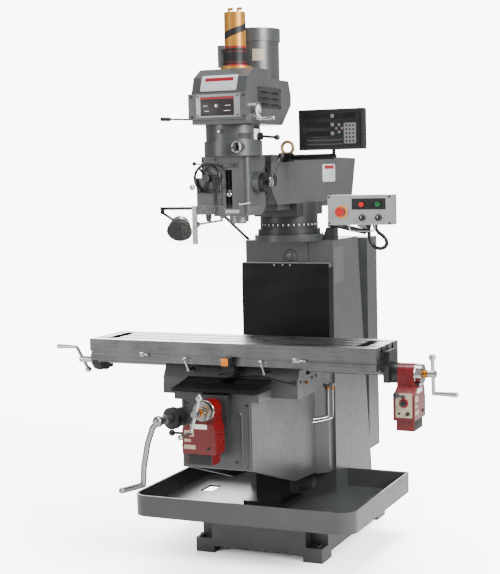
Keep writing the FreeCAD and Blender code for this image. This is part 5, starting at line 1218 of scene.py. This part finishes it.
@dataclass
class FeedUnit:
    """The trim of a power feed: its speed panel, plates, bearing ring and rubber foot."""

    tag: str
    body: str
    place: Matrix
    left: float = -99.0
    right: float = 55.0
    face: float = -92.0
    low: float = -186.0

    def build(self) -> None:
        """Make the unit's pieces in its own frame, whose origin is on the screw's axis."""
        tag, body, place = self.tag, self.body, self.place
        front, side = Facing.FRONT.normal, Facing.LEFT.normal
        foot = Shape().block((-77.5, -85.2, self.low - 46.4), (33.5, -6.8, self.low - 0.5), 3.0)
        foot.finish(f"{tag}_foot", body, MATT_BLACK, "black_plastic", place=place)
        panel = Shape().plate((self.left, -46, -122), side, (72, 104), 2.2, 5, 0.8)
        panel.finish(f"{tag}_speed_panel", body, BEIGE_PRINT, "silver_panel", place=place)
        ring = Shape().disc((self.left - 2, -46, -112), side, 20, 2.6, 0.8)
        ring.finish(f"{tag}_knob_ring", body, RED_PRINT, "red_enamel", place=place)
        knobs = Shape().disc((self.left - 4, -46, -112), side, 14.5, 17, 2.0, 28, 12)
        knobs.disc((self.left - 2, -64, -156), side, 9, 12, 1.6, 24, 8)
        knobs.disc((self.left - 2, -26, -156), side, 5, 7, 1.0, 20)
        knobs.finish(f"{tag}_knobs", body, BLACK_PLASTIC, "black_plastic", place=place)
        board = Shape().plate((-22, self.face, -67), front, (78, 20), 0.8, 3, 0.3)
        board.finish(f"{tag}_plain_board", body, WHITE_PRINT, "silver_panel", place=place)
        plates = Shape().plate((-68, self.face, -98), front, (46, 26), 0.7, 2, 0.2)
        plates.plate((-76, self.face, -128), front, (32, 12), 0.7, 2, 0.2)
        plates.plate((-66, self.face, -156), front, (54, 18), 0.7, 2, 0.2)
        plates.finish(f"{tag}_plates", body, BEIGE_PRINT, "silver_panel", place=place)
        plug = Shape().disc((22, self.face, -160), front, 7, 4, 1.0, 24)
        plug.finish(f"{tag}_plug", body, BLACK_PLASTIC, "black_plastic", place=place)
        edge = [(33, 0), (33, 4), (43, 4), (44.4, 2.4), (44.4, 0)]
        ring = Shape().lathe((0, self.face + 19.6, 0), front, edge)
        ring.finish(f"{tag}_bearing_ring", body, POLISHED_ALLOY, "polished_steel", place=place)


def feed_units() -> None:
    """Trim the cross feed's unit on the knee and the table feed's on its right bracket."""
    front = Matrix.Translation((0, -912, 782))
    FeedUnit("cross_feed", "knee", front).build()
    right = Matrix.Translation((742, -607.5, 918)) @ Matrix.Rotation(math.radians(90), 4, "Z")
    FeedUnit("table_feed", "table", right).build()
    for name, body, at, way, flange, long in (
        ("cross_feed_bush", "cross_screw", (0, -1036, 782), Facing.FRONT, 10, 22),
        ("table_feed_bush", "table_screw_shaft", (846, -607.5, 918), Facing.RIGHT, 8, 18),
    ):
        outline = [(10, 0), (17, 0), (18.5, 2), (18.5, flange), (16, flange + 2), (16, long), (10, long)]
        Shape().lathe(at, way.normal, outline).finish(name, body, BRASS, "bronze")


# ---------------------------------------------------------------- turret and ram


@dataclass
class TurretTrim:
    """The turret's scale and its marks, and the ram's plain plate."""

    low: float = 1515.0
    high: float = 1535.0

    def build(self) -> None:
        """Wrap the scale round the turret and fit the plate to the ram."""
        skin = Skin("turret")
        spot = skin.meet((0, -400, 1525), Vector((0, 1, 0)))
        radius = -spot.y
        inner, outer = radius - 0.5, radius + 0.9
        band = [(inner, self.low), (outer, self.low), (outer, self.high), (inner, self.high)]
        first = math.radians(-140)
        start = Vector((math.cos(first), math.sin(first), 0))
        strip = Shape().lathe((0, 0, 0), Facing.UP.normal, band, sweep=190, steps=64, start=start)
        strip.finish("turret_scale", "turret", MATT_BLACK, "black_oxide")
        dots = Shape()
        for step in range(18):
            angle = math.radians(-132 + 10.5 * step)
            way = Vector((math.cos(angle), math.sin(angle), 0))
            dots.plate(tuple(way * (radius + 0.8) + Vector((0, 0, 1525))), way, (5, 9), 0.5)
        dots.finish("turret_scale_marks", "turret", WHITE_PRINT, "silver_panel")
        plate = Shape().plate((110, 268, 1767), Facing.RIGHT.normal, (176, 88), 3.0, 12, 1.2)
        plate.finish("ram_plate", "ram", SILVER_PRINT, "silver_panel")
        bar = Shape().plate((113, 268, 1796), Facing.RIGHT.normal, (130, 17), 0.6, 1, 0.2)
        bar.finish("ram_plate_bar", "ram", RED_PRINT, "red_enamel")


# ---------------------------------------------------------------- head


@dataclass
class BeltCoverTrim:
    """The belt cover's plates, screws, louvres and speed dial."""

    face: float = -792.0

    def plates(self) -> None:
        """Fit the name plate, without its name, and the framed speed plate."""
        skin = Skin("belt_housing")
        out = Vector((0, -0.87, 0.5))
        for name, z, size, finish, slot, proud, corner in (
            ("belt_cover_plate", 2246, (170, 76), SILVER_PRINT, "silver_panel", 1.6, 7),
            ("belt_cover_plate_bar", 2262, (132, 15), RED_PRINT, "red_enamel", 2.3, 1),
        ):
            skin.label(name, (-2, -900, z), out, size, "head", finish, slot, proud, corner)
        front = Facing.FRONT.normal
        frame_plate = Shape().plate((5, self.face, 2066), front, (206, 98), 2.4, 3, 1.0)
        frame_plate.finish("speed_plate_frame", "head", BRUSHED_SHEET, "silver_panel")
        board = Shape().plate((2, self.face - 2.2, 2064), front, (158, 81), 0.7, 1, 0.2)
        board.finish("speed_plate", "head", BROWN_PRINT, "black_plastic")
        band = Shape().plate((2, self.face - 2.8, 2099), front, (158, 10), 0.5, 0.6)
        band.finish("speed_plate_band", "head", RED_PRINT, "red_enamel")
        marks = Shape()
        for x, z, wide in ((-54, 2066, 20), (52, 2066, 26), (-48, 2044, 22), (48, 2044, 30)):
            marks.plate((x, self.face - 2.8, z), front, (wide, 2.6), 0.3)
        marks.finish("speed_plate_marks", "head", WHITE_PRINT, "silver_panel")
        dial = Shape().disc((0, self.face - 2.6, 2066), front, 8.5, 1.6, 0.5, 32)
        dial.disc((0, self.face - 4, 2066), front, 4, 2.2, 0.6, 24)
        dial.finish("speed_plate_dial", "head", POLISHED_ALLOY, "polished_steel")
        screws = Shape()
        for x, z, radius in (
            (-121, 2106, 5.2), (125, 2106, 5.2), (-119, 2020, 5.2), (125, 2018, 5.2),
        ):
            screws.disc((x, self.face, z), front, radius, 3.0, 0.8, 6 * 4)
        for x, z in ((-90, 2107), (100, 2107), (-90, 2025), (100, 2025)):
            screws.disc((x, self.face - 2.2, z), front, 3.6, 2.2, 0.6, 20)
        screws.finish("cover_screws", "head", BLACK_ENAMEL, "black_oxide")

    def louvres(self) -> None:
        """Fit the vent plate on the right, with two columns of three hoods, each over a black plate that is
        painted shade for its slot.
        """
        right = Facing.RIGHT.normal
        plate = Shape().plate((128, -517, 2105), right, (258, 92), 2.2, 4, 0.7)
        plate.finish("vent_plate", "head", DARK_ENAMEL, "grey_enamel")
        slot_shades, hoods = Shape(), Shape()
        for y in (-575, -459):
            for z in (2130, 2104, 2078):
                # matt black plates under the hoods: painted shade for the slot openings
                slot_shades.plate((130.1, y, z - 4), right, (84, 9), 0.4, 2)
                hoods.block((129, y - 44, z), (137, y + 44, z + 5), 2.2)
                hoods.disc((129, y - 44, z + 2), right, 5, 6, 1.4, 16, 2)
                hoods.disc((129, y + 44, z + 2), right, 5, 6, 1.4, 16, 2)
        slot_shades.finish("vent_slot_painted_shade", "head", MATT_BLACK, "black_oxide")
        hoods.finish("vent_hoods", "head", DARK_ENAMEL, "grey_enamel")
        screws = Shape()
        for y in (-640, -394):
            for z in (2066, 2144):
                screws.disc((130, y, z), right, 4, 2.4, 0.6, 18)
        screws.finish("vent_screws", "head", BLACK_ENAMEL, "black_oxide")

    def dial(self) -> None:
        """Face the speed handwheel with its white dial and orange pointer."""
        skin = Skin("speed_handwheel")
        spot = skin.meet((400, -690, 2056), Vector((-1, 0, 0)))
        right = Facing.RIGHT.normal
        middle = (spot.x, -690, 2042)
        face = Shape().disc(middle, right, 26, 1.2, 0.4, 40)
        face.finish("speed_dial_face", "speed_wheel", WHITE_PRINT, "silver_panel")
        marks = Shape()
        for step in range(16):
            angle = math.radians(22.5 * step)
            way = Vector((0, math.sin(angle), math.cos(angle)))
            marks.plate(tuple(Vector(middle) + right * 1.1 + way * 21), right, (1.2, 5), 0.3, up=way)
        marks.finish("speed_dial_marks", "speed_wheel", BLACK_PLASTIC, "black_plastic")
        tip = tuple(Vector(middle) + right * 1.1 + Vector((0, -3, 6)))
        pointer = Shape().plate(tip, right, (3.2, 26), 0.5, up=Vector((0, -0.4, 1)))
        pointer.finish("speed_dial_pointer", "speed_wheel", ORANGE_POINTER, "red_plastic")

    def build(self) -> None:
        """Make the belt cover's pieces."""
        self.plates()
        self.louvres()
        self.dial()


@dataclass
class QuillHeadTrim:
    """The gear housing's labels and knob and what shows on the quill housing's front."""

    face: float = -690.0

    def labels(self) -> None:
        """Lay the plain labels on the round gear housing."""
        skin = Skin("gear_housing")
        corner, side = Vector((0.76, -0.65, 0)), Vector((0.98, -0.2, 0))
        for name, at, way, size, finish, slot, proud, round_by in (
            ("speed_range_label", (90, -709, 1937), corner, (62, 24), MATT_BLACK, "black_plastic", 0.8, 2),
            ("gear_plate", (121, -646, 1944), side, (44, 46), WHITE_PRINT, "silver_panel", 0.8, 1),
            ("gear_plate_top", (121, -646, 1974), side, (46, 12), MATT_BLACK, "black_plastic", 0.9, 1),
        ):
            skin.label(name, tuple(Vector(at) + way * 60), way, size, "head", finish, slot, proud, round_by)
        spot = skin.meet((-4, -900, 1957), Vector((0, 1, 0)))
        knob = Shape().disc(tuple(spot), Facing.FRONT.normal, 6, 8, 0.8, 24)
        knob.disc(tuple(spot + Vector((0, -8, 0))), Facing.FRONT.normal, 9, 9, 1.6, 28, 8)
        knob.finish("gear_knob", "head", POLISHED_ALLOY, "polished_steel")

    def selector(self) -> None:
        """Face the feed selector with its printed dial."""
        skin = Skin("feed_selector")
        spot = skin.meet((72, -900, 1889 + 21), Vector((0, 1, 0)))
        front = Facing.FRONT.normal
        ring = Shape().lathe((72, spot.y, 1889), front, [(15, 0), (15, 1.0), (23.5, 1.0), (24.5, 0)])
        ring.finish("feed_selector_dial", "feed_select", SILVER_PRINT, "silver_panel")
        wedges = Shape()
        for angle in (20, 140, 260):
            way = Vector((math.sin(math.radians(angle)), 0, math.cos(math.radians(angle))))
            wedges.plate((72 + way.x * 19, spot.y - 0.9, 1889 + way.z * 19), front, (9, 8), 0.4, 1, up=way)
        wedges.finish("feed_selector_marks", "feed_select", BLACK_PLASTIC, "black_plastic")

    def depth_stop(self) -> None:
        """Fit the threaded depth stop with its nut, the scale, the small plates of the front and a black
        plate of painted shade in the quill slot.
        """
        skin = Skin("quill_housing")
        front = Facing.FRONT.normal
        back = skin.meet((0, -900, 1700), Vector((0, 1, 0))).y
        # a matt black plate on the back wall of the quill slot: painted shade in the recess
        slot_back_shade = Shape().plate((0, back, 1702), front, (40, 178), 1.0)
        slot_back_shade.finish("quill_slot_painted_shade", "head", MATT_BLACK, "black_plastic")
        rod = Shape()
        outline = [(0.0, 0.0), (9.0, 0.0)]
        for turn in range(44):
            low = 1.0 + 4.0 * turn
            outline += [(10.4, low + 1.0), (8.6, low + 3.0)]
        outline += [(8.6, 180.0), (0.0, 180.0)]
        rod.lathe((-2, self.face + 14, 1612), Facing.UP.normal, outline, steps=24)
        rod.finish("depth_stop_screw", "head", BLACK_ENAMEL, "black_oxide")
        nut = Shape().disc((-2, self.face + 14, 1676), Facing.UP.normal, 17, 15, 1.6, 32)
        nut.disc((-2, self.face + 14, 1691), Facing.UP.normal, 11, 14, 1.4, 6)
        nut.finish("depth_stop_nut", "head", POLISHED_ALLOY, "polished_steel")
        rule = Shape().plate((-38, self.face, 1716), front, (11, 150), 1.6, 1, 0.5)
        rule.finish("depth_rule", "head", BLACK_ENAMEL, "black_oxide")
        marks = Shape()
        for step in range(24):
            shift, wide = (0, 5) if step % 4 else (-1, 8)
            marks.plate((-38 + shift, self.face - 1.5, 1648 + 6 * step), front, (wide, 1.1), 0.3)
        marks.finish("depth_rule_marks", "head", SILVER_PRINT, "silver_panel")
        plate = Shape().plate((4, self.face, 1811), front, (92, 22), 2.6, 3, 0.8)
        plate.finish("quill_head_plate", "head", GREY_ENAMEL, "grey_enamel")
        screws = Shape().disc((30, self.face - 2.4, 1811), front, 5.4, 2.6, 0.7, 20)
        screws.disc((-30, self.face - 2.4, 1811), front, 5.4, 2.6, 0.7, 20)
        screws.disc((-62, self.face, 1836), front, 5.4, 2.6, 0.7, 20)
        screws.finish("quill_head_screws", "head", BLACK_ENAMEL, "black_oxide")
        low = Shape().plate((14, self.face, 1611), front, (66, 15), 1.0, 1.5, 0.3)
        low.finish("quill_low_plate", "head", SILVER_PRINT, "silver_panel")

    def hub(self) -> None:
        """Cap the quill lever's hub with its turned rings and fit the handwheel's grip."""
        skin = Skin("quill_feed_lever")
        right = Facing.RIGHT.normal
        spot = skin.meet((400, -618, 1735), Vector((-1, 0, 0)))
        middle = (spot.x, -618, 1735)
        rings = [(0, -3), (21, -3), (23, -1), (22, 2), (16, 3), (15, 1.6), (9, 1.6), (8, 4), (0, 4)]
        cap = Shape().lathe(middle, right, rings)
        cap.finish("lever_hub_cap", "feed_lever", TURNED_STEEL, "steel")
        grip = Shape().disc((-130.5, -764, 1719.5), Facing.FRONT.normal, 5, 12, 0.8, 20)
        grip.ball((-130.5, -786, 1719.5), 12.5, (1, 1.1, 1))
        grip.finish("handwheel_grip", "fine_feed", POLISHED_ALLOY, "polished_steel")

    def build(self) -> None:
        """Make the head's pieces."""
        self.labels()
        self.selector()
        self.depth_stop()
        self.hub()


@dataclass
class LampTrim:
    """The lamp head's ribbed bezel, its frosted lens and the bright ribbed shade behind it."""

    centre: Point = (-392.0, -400.0, 1521.0)
    facing: Point = (0.25, -0.72, -0.64)
    thick: float = 24.0
    lens_radius: float = 44.0

    def build(self) -> None:
        """Fit the bezel, the lens and the shade."""
        way = Vector(self.facing).normalized()
        front = Vector(self.centre) + way * (self.thick / 2)
        rear = Vector(self.centre) - way * (self.thick / 2)
        bezel = Shape().lathe(front, way, [(44, -2), (57, -2), (59, 1), (59, 8), (56, 12), (48, 12), (44, 7)])
        for rib in range(36):
            away = Matrix.Rotation(math.tau * rib / 36, 3, way) @ way.orthogonal().normalized()
            bezel.ball(front + away * 59 + way * 4.5, 2.2)
        bezel.finish("lamp_bezel", "lamp", MATT_BLACK, "black_oxide")
        lens = Shape().disc(front + way * 1.0, way, self.lens_radius, 4, 1.2, 56)
        lens.finish("lamp_lens", "lamp", LAMP_LENS, "silver_panel")
        wall = [(40, 0), (50, 0), (47, 14), (40, 34), (27, 50), (14, 56), (14, 53), (25, 47), (37, 32)]
        shade = Shape().lathe(rear, -way, wall)
        for radius, height in ((49.0, 7.0), (45.5, 19.0), (41.0, 31.0)):
            inner, outer = radius - 3, radius + 1.5
            rib = [(inner, height - 2), (outer, height - 1), (outer, height + 1), (inner, height + 2)]
            shade.lathe(rear, -way, rib)
        shade.finish("lamp_shade", "lamp", POLISHED_ALLOY, "polished_steel")


@dataclass
class FeedTripTrim:
    """The quill feed's trip box beside the quill housing, its tongue and the small ball lever above."""

    box_low: Point = (-150.0, -690.0, 1625.0)
    box_high: Point = (-73.0, -634.0, 1702.0)

    def build(self) -> None:
        """Fit the trip box and the lever."""
        box = Shape().block(self.box_low, self.box_high, 5.0)
        box.block((-138, -698, 1640), (-96, -689, 1688), 2.5)
        box.block((-122, -678, 1576), (-104, -650, 1627), 3.0)
        box.disc((-113, -664, 1577), Facing.DOWN.normal, 11, 10, 2.0, 28)
        box.finish("feed_trip_box", "head", BLACK_ENAMEL, "black_oxide")
        screws = Shape()
        for x, z in ((-131, 1647), (-103, 1647), (-131, 1681), (-103, 1681)):
            screws.disc((x, -697.5, z), Facing.FRONT.normal, 3.4, 2.4, 0.6, 20)
        screws.finish("feed_trip_screws", "head", TURNED_STEEL, "steel")
        rod = [(-96, -686, 1817), (-125, -694, 1819), (-154, -702, 1822)]
        pipe("feed_reverse_rod", rod, 3.6, "head", TURNED_STEEL)
        ball = Shape().ball((-158, -703, 1822), 9.5)
        ball.finish("feed_reverse_ball", "head", BLACK_PLASTIC, "black_plastic")


@dataclass
class DrawBarTrim:
    """The printed bands of the draw bar's drive."""

    centre: tuple[float, float] = (0.0, -586.0)
    radius: float = 47.0
    low: float = 2244.0
    high: float = 2330.0

    def build(self) -> None:
        """Wrap the bands round the drive and clip the box on its left."""
        up = Facing.UP.normal
        x, y = self.centre
        inner, outer = self.radius - 1, self.radius + 1.8
        wall = [(inner, self.low), (outer, self.low), (outer, self.high), (inner, self.high)]
        band = Shape().lathe((x, y, 0), up, wall, steps=72)
        band.finish("drive_band", "head", MATT_BLACK, "black_plastic")
        edge = Shape()
        stripes = (
            (self.low + 1, self.low + 8), (self.high - 9, self.high - 2),
            (self.high - 24, self.high - 22), (self.low + 16, self.low + 18),
        )
        near, far = outer - 0.5, outer + 0.5
        for low, high in stripes:
            edge.lathe((x, y, 0), up, [(near, low), (far, low), (far, high), (near, high)], steps=72)
        edge.finish("drive_band_edges", "head", RED_PRINT, "red_enamel")
        stripe = Shape()
        mesh = stripe.mesh
        bmesh.ops.create_cube(mesh, size=1.0)
        bmesh.ops.scale(mesh, vec=(190, 0.8, 30), verts=list(mesh.verts))
        for at in range(1, 40):
            bmesh.ops.bisect_plane(
                mesh, geom=list(mesh.verts) + list(mesh.edges) + list(mesh.faces), dist=1e-4,
                plane_co=(190 * (at / 40 - 0.5), 0, 0), plane_no=(1, 0, 0),
            )
        for vert in mesh.verts:
            angle = vert.co.x / self.radius
            out = self.radius + 0.3 + (0.4 if vert.co.y < 0 else -0.8)
            rise = 2388 + vert.co.z + 0.34 * vert.co.x
            vert.co = (x + out * math.sin(angle), y - out * math.cos(angle), rise)
        stripe.finish("drive_stripe", "head", MATT_BLACK, "black_plastic")
        box = Shape().block((-62, -606, 2250), (-44, -566, 2322), 3.0)
        box.finish("drive_clip", "head", DARK_ENAMEL, "grey_enamel")
        skin = Skin("drive_motor")
        way = Vector((0.56, -0.83, 0))
        at = tuple(Vector((66, -484, 2300)) + way * 120)
        skin.label("motor_plate", at, way, (54, 52), "head", BEIGE_PRINT, "silver_panel", 0.8, 2)


# ---------------------------------------------------------------- readout, panel, lamp


@dataclass
class ReadoutTrim:
    """The readout's front: keypad foil, dark windows and its keys, without any lettering."""

    left: float = 236.0
    top: float = 2049.0
    face: float = -444.0

    def spot(self, across: float, down: float, lift: float = 0.0) -> Point:
        """A place on the front, measured from its top left corner."""
        return (self.left + across, self.face - lift, self.top - down)

    def build(self) -> None:
        """Make the readout's front."""
        front = Facing.FRONT.normal
        foil = Shape().plate(self.spot(152, 89), front, (268, 148), 0.8, 4, 0.3)
        foil.finish("readout_foil", "readout", SCREEN_FACE, "readout_grey")
        windows = Shape()
        for across, down, wide in ((90, 31, 114), (90, 69, 114), (90, 107, 114), (218, 31, 92)):
            windows.plate(self.spot(across, down, 0.7), front, (wide, 22), 0.6, 1.5)
        windows.finish("readout_windows", "readout", DARK_WINDOW, "readout_grey")
        pad = Shape().plate(self.spot(240, 108, 0.7), front, (56, 90), 0.7, 6, 0.2)
        for down in (31, 69, 107):
            pad.plate(self.spot(159, down, 0.7), front, (15, 15), 0.9, 2, 0.3)
        pad.plate(self.spot(122, 136, 0.7), front, (168, 1.4), 0.4)
        pad.plate(self.spot(122, 154, 0.7), front, (168, 1.4), 0.4)
        for across, down in ((190, 70), (190, 102), (177, 86), (203, 86)):
            pad.plate(self.spot(across, down, 0.7), front, (11, 11), 0.8, 3, 0.3)
        pad.finish("readout_keys", "readout", KEY_GREY, "silver_panel")
        keys = Shape()
        for row in range(5):
            for column in range(3):
                keys.disc(self.spot(224 + 16 * column, 74 + 17 * row, 1.3), front, 4.6, 0.9, 0.3, 18)
        for column in range(7):
            keys.disc(self.spot(56 + 22 * column, 145, 0.7), front, 4.4, 0.9, 0.3, 18)
        keys.finish("readout_key_marks", "readout", SCREEN_FACE, "readout_grey")
        dots = Shape()
        for across, down in ((177, 86), (203, 86)):
            dots.disc(self.spot(across, down, 1.5), front, 3.0, 0.4, 0.0, 16)
        dots.finish("readout_red_keys", "readout", RED_PRINT, "red_plastic")


@dataclass
class PanelTrim:
    """The control panel's inset, yellow ring, screws, selector marks and hand rail."""

    face: float = -500.0

    def build(self) -> None:
        """Make the panel's pieces."""
        front = Facing.FRONT.normal
        inset = Shape().plate((576, self.face, 1632), front, (154, 48), 1.2, 1.5, 0.4)
        inset.finish("button_plate", "panel", MATT_BLACK, "black_plastic")
        collar = [(20.8, 0), (20.8, 4), (24, 5.5), (27, 4.5), (28, 0)]
        ring = Shape().lathe((450, self.face, 1598), front, collar)
        ring.finish("emergency_ring", "panel", AMBER_RING, "yellow_plastic")
        rings = Shape()
        for x in (546, 620):
            rings.lathe((x, self.face - 1, 1630), front, [(13.6, 0), (13.6, 2.4), (15.6, 2.0), (16.2, 0)])
            rings.lathe((x, self.face, 1572), front, [(13.2, 0), (13.2, 1.6), (15, 1.4), (15.6, 0)])
        rings.finish("button_rings", "panel", BLACK_PLASTIC, "black_plastic")
        screws = Shape()
        for x in (394.5, 669.5):
            for z in (1549, 1663):
                screws.disc((x, self.face, z), front, 4.6, 2.4, 0.8, 20)
        screws.finish("panel_screws", "panel", BLACK_ENAMEL, "black_oxide")
        for x, body, node in (
            (546, "spindle_switch", "spindle_selector"), (620, "coolant_switch", "coolant_selector")
        ):
            spot = Skin(node).meet((x, -700, 1576), Vector((0, 1, 0)))
            mark = Shape().plate((x, spot.y, 1575), front, (2.4, 11), 0.7, 0.6)
            mark.finish(f"{node}_mark", body, WHITE_PRINT, "silver_panel")
        rail = [(482, -488, 1545), (482, -488, 1530), (484, -488, 1519), (494, -488, 1514), (540, -488, 1513),
                (588, -488, 1514), (598, -488, 1519), (600, -488, 1530), (600, -488, 1545)]
        pipe("panel_hand_rail", rail, 3.6, "panel", POLISHED_ALLOY)


# ---------------------------------------------------------------- making


def main() -> None:
    """Build every sub-assembly in order."""
    logging.basicConfig(level=logging.INFO, format="%(name)s %(message)s")
    Studio().build()
    Leads().build()
    SHOP.dress_nodes()
    WayCurtain().build()
    KneeApron().build()
    PanTrim().build()
    ColumnTrim().build()
    KneeTrim().build()
    SaddleTrim().build()
    TableTrim().build()
    feed_units()
    TurretTrim().build()
    BeltCoverTrim().build()
    QuillHeadTrim().build()
    LampTrim().build()
    FeedTripTrim().build()
    DrawBarTrim().build()
    ReadoutTrim().build()
    PanelTrim().build()


if __name__ == "__main__":
    main()
